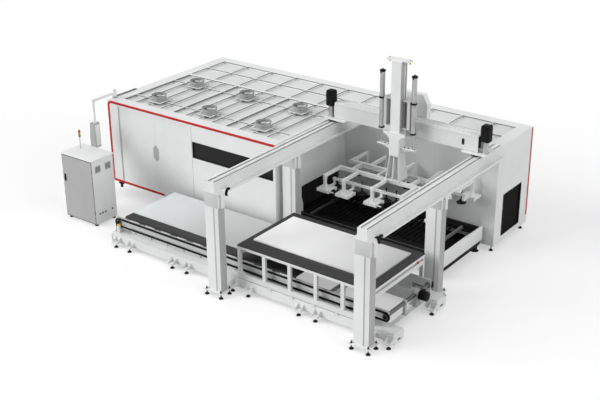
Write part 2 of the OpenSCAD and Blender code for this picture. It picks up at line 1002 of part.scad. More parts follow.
module levelling_feet() {
  color(rubber)
    at_plan() {
      for (p = col_places)
        for (dx = [-col_foot_dx, col_foot_dx])
          for (dy = [-col_foot_dy, col_foot_dy])
            foot(p[0] + dx, p[1] + dy, col_bottom_z);
      for (y = base_ys)
        for (i = [0 : foot_pairs - 1])
          for (dx = [0, foot_pair])
            foot(foot_x0 + i * foot_pitch + dx, y - foot_inset, tab_z);
      for (x = row_foot_xs)
        for (y = [row_y + row_foot_inset, row_back_y - row_foot_inset])
          foot(x, y, row_floor_z);
      for (x = leg_xs)
        for (y = leg_ys)
          foot(x + leg_w / 2, y + leg_w / 2, leg_bottom_z);
      for (x = [bed_x + bed_foot_inset, bed_x + bed_l - bed_foot_inset])
        for (y = [bed_y0, bed_y1])
          foot(x, y + bed_wall_w / 2, bed_bottom_z);
    }
}

// Roof fans

module fan_housings() {
  color(grey_paint)
    at_plan()
      for (p = fan_places)
        translate([p[0], p[1], enclosure_h])
          fan_housing();
}

module fan_housing() {
  difference() {
    union() {
      translate([-fan_base / 2, -fan_base / 2, 0])
        cube([fan_base, fan_base, fan_base_t]);
      cylinder(d = fan_d, h = fan_h);
      for (z = [fan_base_t, fan_h - fan_lip_h])
        translate([0, 0, z])
          cylinder(d = fan_d + 2 * fan_lip, h = fan_lip_h);
    }
    translate([0, 0, -over])
      cylinder(r = fan_bore_r, h = fan_h + 2 * over);
  }
  difference() {
    union() {
      for (a = [0, 60, 120])
        rotate([0, 0, a])
          translate([-fan_bore_r - fan_wall / 2, -strut_w / 2, 0])
            cube([2 * fan_bore_r + fan_wall, strut_w, fan_base_t]);
      cylinder(r = fan_motor_r, h = fan_seat_h);
    }
    translate([0, 0, fan_base_t])
      cylinder(r = fan_shaft_r + shaft_gap, h = fan_seat_h);
  }
}

module fan_rotor(i) {
  color(steel)
    at_plan()
      translate([fan_places[i][0], fan_places[i][1], enclosure_h + fan_seat_h + slide_gap]) {
        cylinder(r = hub_r, h = hub_h);
        translate([0, 0, -fan_shaft_l])
          cylinder(r = fan_shaft_r, h = fan_shaft_l);
        for (b = [0 : fan_blades - 1])
          rotate([0, 0, b * 360 / fan_blades])
            translate([hub_r - blade_root, 0, hub_h / 2])
              rotate([blade_pitch, 0, 0])
                translate([0, -blade_w / 2, -blade_t / 2])
                  cube([fan_bore_r - fan_tip_gap - hub_r + blade_root - blade_sweep,
                    blade_w, blade_t]);
      }
}

module fan_rotor_1() {
  fan_rotor(0);
}

module fan_rotor_2() {
  fan_rotor(1);
}

module fan_rotor_3() {
  fan_rotor(2);
}

module fan_rotor_4() {
  fan_rotor(3);
}

module fan_rotor_5() {
  fan_rotor(4);
}

module fan_rotor_6() {
  fan_rotor(5);
}

// Sliding doors

// Long six-sided grip recess, shared by the two doors
module grip_recess() {
  push_y(door_y - over, grip_depth + over)
    polygon([
      [door_mid_x - grip_w / 2, grip_z - grip_h / 2 + grip_tip],
      [door_mid_x, grip_z - grip_h / 2],
      [door_mid_x + grip_w / 2, grip_z - grip_h / 2 + grip_tip],
      [door_mid_x + grip_w / 2, grip_z + grip_h / 2 - grip_tip],
      [door_mid_x, grip_z + grip_h / 2],
      [door_mid_x - grip_w / 2, grip_z + grip_h / 2 - grip_tip]
    ]);
}

module door_slab(x) {
  difference() {
    box(x, door_y, door_z - door_lap, door_w, door_t, door_h + 2 * door_lap);
    grip_recess();
  }
}

module door_left() {
  color(white_paint)
    at_plan()
      door_slab(door_x - door_lap);
}

module door_right() {
  color(white_paint)
    at_plan()
      door_slab(door_mid_x + door_gap_w / 2);
}

// Exchange table and its slat pallet

module slat_table() {
  color(black_paint)
    at_plan() {
      for (y = [table_y, table_y + table_w - table_rail_w])
        box(table_x, y, table_z - table_rail_h, table_l, table_rail_w,
          table_rail_h - table_rail_drop);
      box(table_x, table_y + table_rail_w, runner_top_z - runner_h,
        table_l, table_runner_reach, runner_h);
      box(table_x, table_y + table_w - table_rail_w - table_runner_reach, runner_top_z - runner_h,
        table_l, table_runner_reach, runner_h);
      for (x = table_leg_xs)
        for (y = [table_y, table_y + table_w - table_rail_w])
          table_leg(x, y);
      box(table_x + table_l, table_y, side_plate_z, side_plate_t,
        table_w, table_z - side_plate_z + side_plate_over);
      box(table_x, table_y + table_rail_w, scrap_z + scrap_t, table_l, table_w - 2 * table_rail_w, pan_t);
      for (x = table_leg_xs)
        box(x, table_y + table_rail_w, scrap_z, table_leg_w, table_w - 2 * table_rail_w, scrap_t);
    }
}

// A table leg on its wide floor pad
module table_leg(x, y) {
  box(x, y, table_pad_h, table_leg_w, table_rail_w, table_z - table_rail_h - table_pad_h);
  translate([x + table_leg_w / 2, y + table_rail_w / 2, 0])
    cylinder(r1 = table_pad_r, r2 = table_rail_w / 2, h = table_pad_h);
}

module exchange_pallet() {
  color(black_paint)
    at_plan() {
      for (y = [pallet_y, pallet_y + pallet_w - pallet_side_w])
        box(pallet_x, y, pallet_bottom_z, pallet_l, pallet_side_w, pallet_h - tooth_h);
      for (x = [pallet_x, pallet_x + pallet_l - pallet_side_w])
        box(x, pallet_y + pallet_side_w, pallet_bottom_z, pallet_side_w, slat_l, pallet_h - tooth_h);
      for (i = [1 : slat_count])
        push_x(pallet_x + pallet_side_w + i * slat_pitch, slat_t)
          translate([pallet_y + pallet_side_w, table_z - slat_h])
            slat_outline();
    }
}

// A slat with a row of pointed teeth along its top
module slat_outline() {
  polygon(concat(
    [[0, 0], [slat_l, 0], [slat_l, slat_h - tooth_h]],
    [for (i = [tooth_count - 1 : -1 : 0]) each [
      [(i + 0.5) * slat_l / tooth_count, slat_h],
      [i * slat_l / tooth_count, slat_h - tooth_h]
    ]]
  ));
}

// Loading gantry

module gantry_columns() {
  color(white_paint)
    at_plan()
      for (p = col_places)
        translate([p[0], p[1], 0])
          column();
}

module column() {
  body_z = col_bottom_z + col_plate_t;
  body_h = beam_bottom_z - body_z;
  translate([-col_plate_l / 2, -col_plate_w / 2, col_bottom_z])
    cube([col_plate_l, col_plate_w, col_plate_t]);
  difference() {
    translate([-col_w / 2, -col_d / 2, body_z])
      cube([col_w, col_d, body_h]);
    translate([-col_w / 2 + col_wall, -col_d / 2 + col_wall, body_z - over])
      cube([col_w - 2 * col_wall, col_d - 2 * col_wall, body_h - col_cap_t]);
    for (s = col_groove_shares)
      translate([-col_w / 2 + s * col_w, -col_d / 2 - over, body_z - over])
        cube([col_groove_w, col_groove_d + over, body_h - col_ear_h]);
    for (s = col_groove_shares)
      translate([col_w / 2 - col_groove_d, -col_d / 2 + s * col_d, body_z - over])
        cube([col_groove_d + over, col_groove_w, body_h - col_ear_h]);
  }
  for (x = [-col_w / 2 - col_ear_t, col_w / 2])
    translate([x, -col_ear_w / 2, beam_bottom_z - col_ear_h])
      cube([col_ear_t, col_ear_w, col_ear_h]);
}

module gantry_beams() {
  color(white_paint)
    at_plan()
      for (x = beam_xs)
        difference() {
          box(x - beam_w / 2, -beam_front, beam_bottom_z, beam_w, beam_front + row_y, beam_h);
          box(x - beam_w / 2 + beam_wall, -beam_front + beam_wall, beam_bottom_z + beam_wall,
            beam_w - 2 * beam_wall, beam_front + row_y, beam_h - 2 * beam_wall);
        }
}

module beam_rails() {
  color(steel)
    at_plan()
      for (x = beam_xs)
        for (dx = [-beam_w / 2 + rail_inset, beam_w / 2 - rail_inset - rail_w])
          box(x + dx, -beam_front + rail_end, beam_top_z,
            rail_w, beam_front + row_y - 2 * rail_end, rail_h);
}

module cable_trays() {
  color(white_paint)
    at_plan()
      for (x = beam_xs)
        translate([x + beam_w / 2, -beam_front + tray_end_gap, beam_bottom_z])
          difference() {
            cube([tray_w, beam_front + row_y - tray_end_gap - tray_back_gap, tray_h]);
            translate([tray_t, -over, tray_t])
              cube([tray_w - 2 * tray_t, beam_front + row_y, tray_h]);
          }
}

module bridge_beam() {
  color(white_paint)
    at_plan() {
      difference() {
        box(bridge_x0, bridge_y, bridge_z, bridge_l, bridge_d, bridge_h);
        box(bridge_x0 + bridge_pocket + bridge_wall, bridge_y + bridge_wall, bridge_z + bridge_wall,
          bridge_l - 2 * bridge_pocket - 2 * bridge_wall, bridge_d - 2 * bridge_wall,
          bridge_h - 2 * bridge_wall);
        for (x = [bridge_x0 - over, bridge_x0 + bridge_l - bridge_pocket])
          box(x, bridge_y + bridge_wall, bridge_z + bridge_wall, bridge_pocket + over,
            bridge_d - 2 * bridge_wall, bridge_h - 2 * bridge_wall);
        push_y(bridge_y - over, bridge_wall + 2 * over)
          translate([bridge_x0 + bridge_l - bridge_slot_inset - bridge_slot_w,
            bridge_z + (bridge_h - bridge_slot_h) / 2])
            soft_square(bridge_slot_w, bridge_slot_h, bridge_slot_w / 2 - over);
      }
      for (s = bridge_ridge_shares)
        box(bridge_x0, bridge_y + s * bridge_d, bridge_top_z,
          bridge_l, bridge_ridge_w, bridge_ridge_h);
    }
}

module bridge_carriages() {
  color(white_paint)
    at_plan()
      for (side = [0, 1])
        translate([beam_xs[side], bridge_y - carriage_front, bridge_z - carriage_plate_t])
          mirror([1 - side, 0, 0])
            carriage();
}

// End plate of the bridge with its four guide blocks, for the right beam
module carriage() {
  plate_w = bridge_d + 2 * carriage_front;
  translate([-carriage_in, 0, 0])
    cube([carriage_in + carriage_out, plate_w, carriage_plate_t]);
  for (dx = [-beam_w / 2 + rail_inset + rail_w / 2, beam_w / 2 - rail_inset - rail_w / 2])
    for (y = [0, plate_w - carriage_block_l])
      translate([dx - carriage_block_w / 2, y, -carriage_block_h])
        cube([carriage_block_w, carriage_block_l, carriage_block_h]);
}

module drive_motors() {
  color(black_paint)
    at_plan()
      for (x = motor_xs)
        translate([x - motor_w / 2, motor_y - motor_w / 2, bridge_z + gearbox_h])
          linear_extrude(motor_h)
            soft_square(motor_w, motor_w, motor_corner);
}

module drive_gearboxes() {
  color(steel)
    at_plan()
      for (x = motor_xs)
        translate([x, motor_y, bridge_z]) {
          cylinder(r = gearbox_r, h = gearbox_h);
          for (z = [0, gearbox_h - gearbox_flange_t])
            translate([-gearbox_flange / 2, -gearbox_flange / 2, z])
              cube([gearbox_flange, gearbox_flange, gearbox_flange_t]);
        }
}

// Mast carriage, a deep bracket with two side boxes that guide the mast
module mast_carriage() {
  color(white_paint)
    at_plan() {
      box(box_x0, mast_back_y + mast_slide, box_z, box_w, box_back_t, box_h);
      for (side = [0, 1])
        translate([gantry_cx, 0, 0])
          mirror([1 - side, 0, 0])
            side_box();
    }
}

module side_box() {
  x0 = mast_w / 2 + box_slot_gap;
  difference() {
    box(x0, box_side_y, box_z, box_side_w, mast_back_y + mast_slide - box_side_y, box_h);
    box(x0 - over, box_side_y - over, box_z + box_wall, box_side_w - box_front_w,
      box_pocket_d, box_h - 2 * box_wall);
  }
  for (z = [box_z, box_z + box_h - shoe_h])
    box(mast_w / 2 + slide_gap, mast_back_y - shoe_d, z, box_slot_gap, shoe_d, shoe_h);
}

module balance_cylinders() {
  color(steel)
    at_plan()
      for (x = cylinder_xs)
        translate([x, cylinder_y, cylinder_bottom_z + cap_h])
          difference() {
            cylinder(d = cylinder_d, h = cylinder_top_z - cylinder_bottom_z - 2 * cap_h);
            translate([0, 0, -over])
              cylinder(r = cylinder_bore_r, h = cylinder_top_z - cylinder_bottom_z);
          }
}

module cylinder_clamps() {
  color(black_paint)
    at_plan()
      for (x = cylinder_xs) {
        translate([x, cylinder_y, cylinder_top_z - cap_h])
          cylinder(r = cap_r, h = cap_h);
        translate([x, cylinder_y, cylinder_bottom_z])
          difference() {
            cylinder(r = cap_r, h = cap_h);
            translate([0, 0, -over])
              cylinder(r = rod_r + shaft_gap, h = cap_h + 2 * over);
          }
        translate([x, cylinder_y, clamp_z])
          difference() {
            union() {
              cylinder(r = cylinder_d / 2 + clamp_t, h = clamp_h);
              translate([x < gantry_cx ? 0 : -clamp_reach, -clamp_h / 2, 0])
                cube([clamp_reach, clamp_h, clamp_h]);
            }
            translate([0, 0, -over])
              cylinder(r = cylinder_d / 2 + shaft_gap, h = clamp_h + 2 * over);
          }
      }
}

module rear_cover() {
  color(white_paint)
    at_plan()
      push_y(cover_y, cover_d)
        translate([gantry_cx - cover_w / 2, cover_z])
          polygon([
            [0, 0], [cover_w, 0], [cover_w, cover_h - cover_chamfer],
            [cover_w - cover_chamfer * cover_slope_share, cover_h],
            [cover_chamfer * cover_slope_share, cover_h],
            [0, cover_h - cover_chamfer]
          ]);
}

// Lifting mast and suction frame

module mast() {
  color(white_paint)
    at_plan() {
      difference() {
        box(mast_x0, mast_y, mast_bottom_z, mast_w, mast_d, mast_top_z - mast_bottom_z);
        box(mast_x0 + mast_wall, mast_y + mast_wall, mast_bottom_z - over,
          mast_w - 2 * mast_wall, mast_d - 2 * mast_wall, mast_top_z - mast_bottom_z);
        box(mast_x0 + mast_w - mast_groove_d, mast_y + mast_groove_y, flare_top_z,
          mast_groove_d + over, mast_groove_w, mast_top_z - flare_top_z + over);
        for (i = [0 : rack_count - 1])
          box(mast_x0 + mast_w - rack_depth, mast_back_y - rack_w, flare_top_z + i * rack_pitch,
            rack_depth + over, rack_w + over, rack_pitch * rack_gap_share);
      }
      box(gantry_cx - cap_l / 2, mast_y + (mast_d - cap_d) / 2, mast_top_z, cap_l, cap_d, cap_t);
    }
}

module buffers() {
  color(buffer_yellow)
    at_plan()
      for (dx = [-cap_l / 2 + buffer_inset, cap_l / 2 - buffer_inset])
        translate([gantry_cx + dx, mast_y + mast_d / 2, mast_top_z - buffer_h])
          cylinder(r = buffer_r, h = buffer_h);
}

// Flared front plate, rod wings and tapered foot at the lower end of the mast
module mast_head() {
  color(white_paint)
    at_plan() {
      push_y(mast_y - head_plate_t, head_plate_t)
        translate([gantry_cx, 0])
          flare_outline();
      for (side = [0, 1])
        translate([gantry_cx, 0, 0])
          mirror([1 - side, 0, 0])
            rod_wing();
      push_y(mast_y + (mast_d - foot_rib_t) / 2, foot_rib_t)
        translate([gantry_cx, mast_bottom_z])
          foot_outline(mast_w - foot_rib_t, foot_w - 2 * foot_rib_t);
      for (side = [-1, 0, 1])
        translate([gantry_cx + side * (mast_w - foot_rib_t) / 2, mast_y + mast_d / 2,
          mast_bottom_z - abs(side) * over])
          rotate([0, -side * foot_splay, 0])
            push_x(-foot_rib_t / 2, foot_rib_t)
              foot_outline(mast_d, foot_d - 2 * foot_rib_t);
      box(gantry_cx - foot_w / 2, mast_y + mast_d / 2 - foot_d / 2, suction_z,
        foot_w, foot_d, foot_plate_t);
    }
}

module flare_outline() {
  difference() {
    translate([-flare_w / 2, flare_top_z - flare_h - flare_r])
      square([flare_w, flare_h + flare_r]);
    for (side = [-1, 1])
      translate([side * (mast_w / 2 + flare_r), flare_top_z - flare_h - flare_r])
        circle(flare_r);
  }
  translate([-mast_w / 2, mast_bottom_z])
    square([mast_w, flare_top_z - mast_bottom_z - flare_h]);
}

// A trapezium from the mast's end down into the foot plate
module foot_outline(top_w, bottom_w) {
  bottom = suction_z + foot_plate_t / 2 - mast_bottom_z;
  polygon([[-bottom_w / 2, bottom], [bottom_w / 2, bottom], [top_w / 2, 0], [-top_w / 2, 0]]);
}

module rod_wing() {
  box(mast_w / 2, cylinder_y - wing_d / 2, wing_z, wing_l / 2 - mast_w / 2, wing_d, wing_t);
  reach = (wing_l - mast_w) / 2;
  rise = wing_rib_h - wing_tip_h;
  arc_r = ((reach - wing_root) * (reach - wing_root) + rise * rise) / (2 * rise);
  push_y(cylinder_y - wing_rib_t / 2, wing_rib_t)
    difference() {
      translate([mast_w / 2, wing_z - wing_rib_h])
        square([reach, wing_rib_h]);
      translate([wing_l / 2, wing_z - wing_tip_h - arc_r])
        circle(arc_r);
    }
}

module piston_rods() {
  color(steel)
    at_plan()
      for (x = cylinder_xs) {
        translate([x, cylinder_y, wing_z + wing_t])
          cylinder(r = rod_r, h = rod_top_z - wing_z - wing_t);
        translate([x, cylinder_y, wing_z + wing_t])
          cylinder(r = 2 * rod_r, h = bolt_h, $fn = 6);
      }
}

module suction_frame() {
  color(white_paint)
    at_plan() {
      for (y = suction_ys)
        box(suction_x0, y - suction_rail / 2, suction_z - suction_rail,
          suction_l, suction_rail, suction_rail);
      for (s = tie_shares)
        box(gantry_cx + s * suction_l / 2 - tie_w / 2, suction_ys[0] + suction_rail / 2,
          suction_z - suction_rail, tie_w, suction_rail_gap - suction_rail, suction_rail);
      for (s = arm_shares)
        for (side = [0, 1])
          translate([gantry_cx + s * suction_l / 2, suction_cy, 0])
            mirror([0, 1 - side, 0])
              suction_arm();
      for (side = [-1, 1])
        box(suction_x0, suction_cy + side * lower_rail_y - lower_rail / 2,
          arm_foot_z + lower_rail_lift, suction_l, lower_rail, lower_rail);
    }
}

// One arm that reaches out from its rail, turns down and ends in a plate
module suction_arm() {
  box(-arm_w / 2, arm_y0, suction_z - arm_h, arm_w, arm_reach, arm_h);
  box(-arm_w / 2, arm_y0 + arm_reach - arm_w, arm_foot_z, arm_w, arm_w, arm_drop - arm_h);
  box(-cup_plate_w / 2, cup_plate_y, arm_foot_z - cup_plate_t, cup_plate_w, cup_plate_l, cup_plate_t);
  y0 = lower_rail_y - lower_rail / 2;
  box(-arm_w / 2, y0, arm_foot_z - tongue_t, arm_w, cup_plate_y - y0, tongue_t);
  box(-arm_w / 2, y0, arm_foot_z, arm_w, lower_rail, lower_rail_lift);
}

module suction_cups() {
  color(rubber)
    at_plan()
      for (s = cup_shares)
        for (side = [-1, 1])
          translate([gantry_cx + s * suction_l / 2, suction_cy + side * lower_rail_y, cup_bottom_z])
            suction_cup();
}

module suction_cup() {
  cylinder(d = cup_d, h = cup_lip);
  translate([0, 0, cup_lip])
    cylinder(r1 = cup_d / 2, r2 = cup_neck_r, h = cup_cone_h);
  translate([0, 0, cup_lip + cup_cone_h])
    cylinder(r = cup_neck_r, h = cup_stem_h);
}

// Material cart

module cart_sides() {
  color(white_paint)
    at_plan()
      for (side = [0, 1])
        translate([cart_x, cart_mid_y, 0])
          mirror([0, 1 - side, 0])
            cart_side();
}

// One long side of the cart, with its guide shoes and clips
module cart_side() {
  y0 = cart_w / 2 - rail_sec;
  box(0, y0, cart_rail_z, cart_l, rail_sec, cart_rail_h);
  box(0, y0, cart_z - board_t - cart_top_rail_h, cart_l, rail_sec, cart_top_rail_h);
  for (i = [0 : cart_bays])
    box(i * (cart_l - cart_post_w) / cart_bays, y0, cart_rail_z + cart_rail_h, cart_post_w, rail_sec,
      cart_z - board_t - cart_top_rail_h - cart_rail_z - cart_rail_h);
  for (i = [0 : cart_shoe_count - 1])
    translate([(i + 0.5) * cart_l / cart_shoe_count, 0, 0]) {
      box(-cart_shoe_l / 2, y0, base_top_z + slide_gap, cart_shoe_l, shoe_w,
        cart_rail_z - base_top_z - slide_gap);
      box(-clip_l / 2, cart_w / 2, clip_z, clip_l, clip_t, clip_h);
    }
}

module cart_deck() {
  color(white_paint)
    at_plan() {
      y0 = cart_front_y + rail_sec;
      for (x = [cart_x, cart_x + cart_l - rail_sec])
        for (z = [end_rail_z, cart_z - board_t - cart_top_rail_h])
          box(x, y0, z, rail_sec, cart_w - 2 * rail_sec,
            z == end_rail_z ? end_rail_h : cart_top_rail_h);
      for (i = [1 : cart_bays - 1])
        box(cart_x + i * (cart_l - cart_post_w) / cart_bays, y0, cart_z - board_t - cart_top_rail_h,
          cart_post_w, cart_w - 2 * rail_sec, cart_top_rail_h);
    }
}

module cart_board() {
  color(dark_board)
    at_plan()
      box(cart_x, cart_front_y, cart_z - board_t, cart_l, cart_w, board_t);
}

module cart_sheet() {
  color(bright_sheet)
    at_plan()
      box(cart_x + cart_sheet_dx, cart_front_y + cart_sheet_dy, cart_z, sheet_l, sheet_w, sheet_t);
}

// Low pallet on the chain tracks

module low_pallet() {
  color(dark_board)
    at_plan() {
      box(low_x, low_y, low_z - low_board_t, low_l, low_w, low_board_t);
      for (y = track_ys)
        for (i = [0 : low_shoe_count - 1])
          box(low_x + low_shoe_in + i * (low_l - low_shoe_l - 2 * low_shoe_in) / (low_shoe_count - 1), y,
            track_top_z + slide_gap, low_shoe_l, track_t, low_frame_h);
    }
}

module low_sheet() {
  color(bright_sheet)
    at_plan()
      box(low_x, low_y + low_sheet_dy, low_z, low_sheet_l, low_sheet_w, low_sheet_t);
}

// Chain conveyor

module conveyor_base() {
  color(white_paint)
    at_plan()
      for (y = base_ys) {
        tube_x(base_x, y, base_bottom_z, base_l, base_w, base_top_z - base_bottom_z, base_wall);
        end_cap(base_x - end_plate_t, y, end_plate_t);
        end_cap(base_x + base_l + end_plate_t - end_cap_l, y, end_cap_l);
        for (i = [0 : foot_pairs - 1])
          for (dx = [0, foot_pair])
            translate([foot_x0 + i * foot_pitch + dx, y, 0])
              foot_bracket();
      }
}

// Wider end of a base beam, with its top edges cut off
module end_cap(x, y, l) {
  w = base_w + 2 * end_plate_over;
  push_x(x, l)
    translate([y - end_plate_over, 0])
      polygon([
        [0, base_bottom_z - end_plate_over], [w, base_bottom_z - end_plate_over],
        [w, base_top_z - end_chamfer], [w - end_chamfer, base_top_z],
        [end_chamfer, base_top_z], [0, base_top_z - end_chamfer]
      ]);
}

// Foot tab in front of a base beam, between two triangular gussets
module foot_bracket() {
  translate([-tab_l / 2, -2 * foot_inset, tab_z])
    cube([tab_l, 2 * foot_inset, tab_t]);
  for (x = [-tab_l / 2, tab_l / 2 - gusset_t])
    push_x(x, gusset_t)
      polygon([
        [-2 * foot_inset, tab_z + tab_t], [0, tab_z + tab_t], [0, tab_z + tab_t + gusset_h]
      ]);
}

module base_ties() {
  color(white_paint)
    at_plan()
      for (x = tie_xs)
        box(x - cross_w / 2, base_ys[0] + base_w, cross_z, cross_w,
          base_ys[1] - base_ys[0] - base_w, cross_h);
}

module chain_tracks() {
  color(white_paint)
    at_plan() {
      chain_track(track_ys[0], chain_ys[0]);
      chain_track(track_ys[1], track_ys[1] + track_t);
    }
}

// Upright track plate with ledges under both chain runs, bored for the shafts
module chain_track(y, ledge_y) {
  run_x = chain_xs[0] + chain_r;
  run_l = chain_xs[1] - chain_xs[0] - 2 * chain_r;
  difference() {
    box(track_x0, y, base_top_z, track_l, track_t, track_top_z - base_top_z);
    for (x = chain_xs)
      rod_y(x, y - over, chain_z, shaft_r + shaft_gap, track_t + 2 * over);
    for (x = [chain_xs[0] + track_end, chain_xs[1] - track_end - notch_l])
      box(x, y - over, base_top_z - over, notch_l, track_t + 2 * over,
        chain_z - notch_drop - base_top_z + over);
  }
  for (side = [-1, 1])
    box(run_x, ledge_y, chain_z + side * chain_r - chain_t / 2 - slide_gap - ledge_t,
      run_l, ledge_w, ledge_t);
}

module chains() {
  color(black_paint)
    at_plan()
      for (y = chain_ys)
        push_y(y, chain_w)
          difference() {
            loop_outline(chain_r + chain_t / 2);
            loop_outline(chain_r - chain_t / 2);
          }
}

// A stadium outline round the two chain shafts
module loop_outline(r) {
  for (x = chain_xs)
    translate([x, chain_z])
      circle(r);
  translate([chain_xs[0], chain_z - r])
    square([chain_xs[1] - chain_xs[0], 2 * r]);
}

// A cross shaft with a toothed sprocket at each chain
module chain_shaft(x) {
  y0 = chain_ys[0];
  y1 = chain_ys[1] + chain_w;
  rod_y(x, y0 - shaft_over, chain_z, shaft_r, y1 - y0 + 2 * shaft_over);
  for (y = chain_ys)
    translate([x, 0, chain_z])
      push_y(y + (chain_w - sprocket_w) / 2, sprocket_w)
        sprocket_outline();
}

// Trapezium teeth round a root circle, written as shares of one tooth
module sprocket_outline() {
  step = 360 / sprocket_teeth;
  polygon([for (i = [0 : sprocket_teeth - 1]) for (k = [0 : 3])
    (k == 0 || k == 3 ? sprocket_root_r : sprocket_tip_r)
      * [cos((i + tooth_shares[k]) * step), sin((i + tooth_shares[k]) * step)]]);
}

module drive_shaft() {
  color(steel)
    at_plan()
      chain_shaft(chain_xs[1]);
}

module idler_shaft() {
  color(steel)
    at_plan()
      chain_shaft(chain_xs[0]);
}

module conveyor_motor() {
  color(black_paint)
    at_plan() {
      x = chain_xs[1];
      difference() {
        union() {
          box(x - gear_w / 2, gear_y - gear_l / 2, chain_z - gear_h / 2,
            gear_w, gear_l, gear_h);
          box(x - pedestal_w / 2, gear_y - gear_l / 2, cross_z + cross_h, pedestal_w, gear_l,
            chain_z - cross_z - cross_h);
        }
        rod_y(x, gear_y - gear_l, chain_z, shaft_r + shaft_gap, 2 * gear_l);
      }
      rod_x(x + gear_w / 2, gear_y, chain_z, chain_motor_r, chain_motor_l);
      rod_x(x + gear_w / 2 + chain_motor_l, gear_y, chain_z, fan_cowl_r, fan_cowl_l);
    }
}

// Control cabinet, signal light and operator arm

module control_cabinet() {
  color(white_paint)
    at_plan() {
      difference() {
        translate([cabinet_x, cabinet_y, cabinet_bottom_z])
          cabinet_shell();
        for (s = vent_shares)
          box(cabinet_x + cabinet_w - vent_depth, cabinet_y + s * cabinet_d - vent_w / 2,
            cabinet_top_z - vent_drop - vent_w, vent_depth + over, vent_w, vent_w);
      }
      for (s = vent_shares)
        for (i = [0 : vent_slats - 1])
          box(cabinet_x + cabinet_w - vent_depth, cabinet_y + s * cabinet_d - vent_w / 2,
            cabinet_top_z - vent_drop - vent_w + (i + 0.5) * vent_w / vent_slats
              - vent_slat_t / 2,
            vent_depth - vent_slat_t, vent_w, vent_slat_t);
      for (x = [cabinet_x + cabinet_foot_in, cabinet_x + cabinet_w - cabinet_foot_in])
        for (y = [cabinet_y + cabinet_foot_in, cabinet_y + cabinet_d - cabinet_foot_in])
          translate([x, y, 0])
            cylinder(r = cabinet_foot_r, h = cabinet_bottom_z);
      for (s = hinge_shares)
        hinge_bracket(s);
    }
}

// Folded cabinet shell with soft upright edges, open to the front
module cabinet_shell() {
  h = cabinet_top_z - cabinet_bottom_z;
  difference() {
    linear_extrude(h)
      soft_square(cabinet_w, cabinet_d, cabinet_r);
    translate([cab_door_edge, -over, cab_door_edge])
      cube([cabinet_w - 2 * cab_door_edge, cab_door_t + cab_door_gap + over, h - 2 * cab_door_edge]);
    translate([cabinet_wall + cab_door_edge, -over, cabinet_wall + cab_door_edge])
      cube([cabinet_w - 2 * cabinet_wall - 2 * cab_door_edge, cabinet_d - cabinet_wall + over,
        h - 2 * cabinet_wall - 2 * cab_door_edge]);
  }
}

// Hinge pin on its bracket, at the right front edge
module hinge_bracket(s) {
  z = cabinet_bottom_z + s * (cabinet_top_z - cabinet_bottom_z);
  side_x = cabinet_x + cabinet_w - hinge_side_w;
  translate([hinge_x, hinge_y, z])
    cylinder(r = pin_r, h = hinge_l);
  translate([hinge_x, hinge_y, z - hinge_r])
    cylinder(r = hinge_r, h = hinge_r);
  box(hinge_x, hinge_y - hinge_r, z - hinge_r, side_x - hinge_x, 2 * hinge_r, hinge_r);
  box(side_x, hinge_y - hinge_r, z - hinge_r, hinge_side_w, hinge_r + hinge_front + hinge_grip, hinge_r);
}

module cabinet_door() {
  color(grey_paint)
    at_plan() {
      x0 = cabinet_x + cab_door_edge + cab_door_gap;
      z0 = cabinet_bottom_z + cab_door_edge + cab_door_gap;
      box(x0, cabinet_y, z0, cabinet_w - 2 * cab_door_edge - 2 * cab_door_gap, cab_door_t,
        cabinet_top_z - cabinet_bottom_z - 2 * cab_door_edge - 2 * cab_door_gap);
      for (s = hinge_shares) {
        z = cabinet_bottom_z + s * (cabinet_top_z - cabinet_bottom_z) + slide_gap;
        difference() {
          union() {
            translate([hinge_x, hinge_y, z])
              cylinder(r = hinge_r, h = hinge_l - slide_gap);
            box(hinge_x - hinge_r - hinge_leaf, hinge_y, z, hinge_r + hinge_leaf,
              cabinet_y - hinge_y, hinge_l - slide_gap);
          }
          translate([hinge_x, hinge_y, z - over])
            cylinder(r = pin_r + shaft_gap, h = hinge_l + 2 * over);
        }
      }
    }
}

module stack_light() {
  color(steel)
    at_plan()
      translate([cabinet_x + light_x_share * cabinet_w, cabinet_y + light_y_share * cabinet_d,
        cabinet_top_z]) {
        cylinder(r = lamp_r, h = lamp_gap);
        cylinder(r = pole_r, h = pole_h + lamp_count * (lamp_h + lamp_gap));
        for (i = [0 : lamp_count - 1])
          translate([0, 0, pole_h + i * (lamp_h + lamp_gap)])
            cylinder(r = lamp_r, h = lamp_h);
        translate([0, 0, pole_h + lamp_count * (lamp_h + lamp_gap)])
          cylinder(r1 = lamp_r, r2 = pole_r, h = lamp_gap);
      }
}

module arm_post() {
  color(grey_paint)
    at_plan()
      translate([arm_post_x, arm_post_y, enclosure_h]) {
        cylinder(r = arm_base_r, h = arm_base_h);
        translate([0, 0, arm_base_h])
          cylinder(r = arm_pin_r, h = arm_pin_h);
      }
}

module operator_arm() {
  color(white_paint)
    at_plan() {
      difference() {
        translate([arm_post_x, arm_post_y, arm_hub_z])
          cylinder(r = elbow_r, h = arm_hub_h);
        translate([arm_post_x, arm_post_y, arm_hub_z - over])
          cylinder(r = arm_pin_r + shaft_gap, h = arm_pin_h + over);
      }
      rod_y(arm_post_x, arm_post_y - arm_l, arm_z, arm_tube_r, arm_l - elbow_r / 2);
      translate([panel_x, panel_y, arm_z])
        sphere(r = elbow_r);
      translate([panel_x, panel_y, panel_top_z + swivel_t])
        cylinder(r = drop_tube_r, h = arm_z - panel_top_z - swivel_t);
      translate([panel_x, panel_y, panel_top_z + slide_gap])
        cylinder(r = swivel_r, h = swivel_t);
      translate([panel_x, panel_y, panel_top_z - swivel_pin_l])
        cylinder(r = swivel_pin_r, h = swivel_pin_l + swivel_t);
    }
}

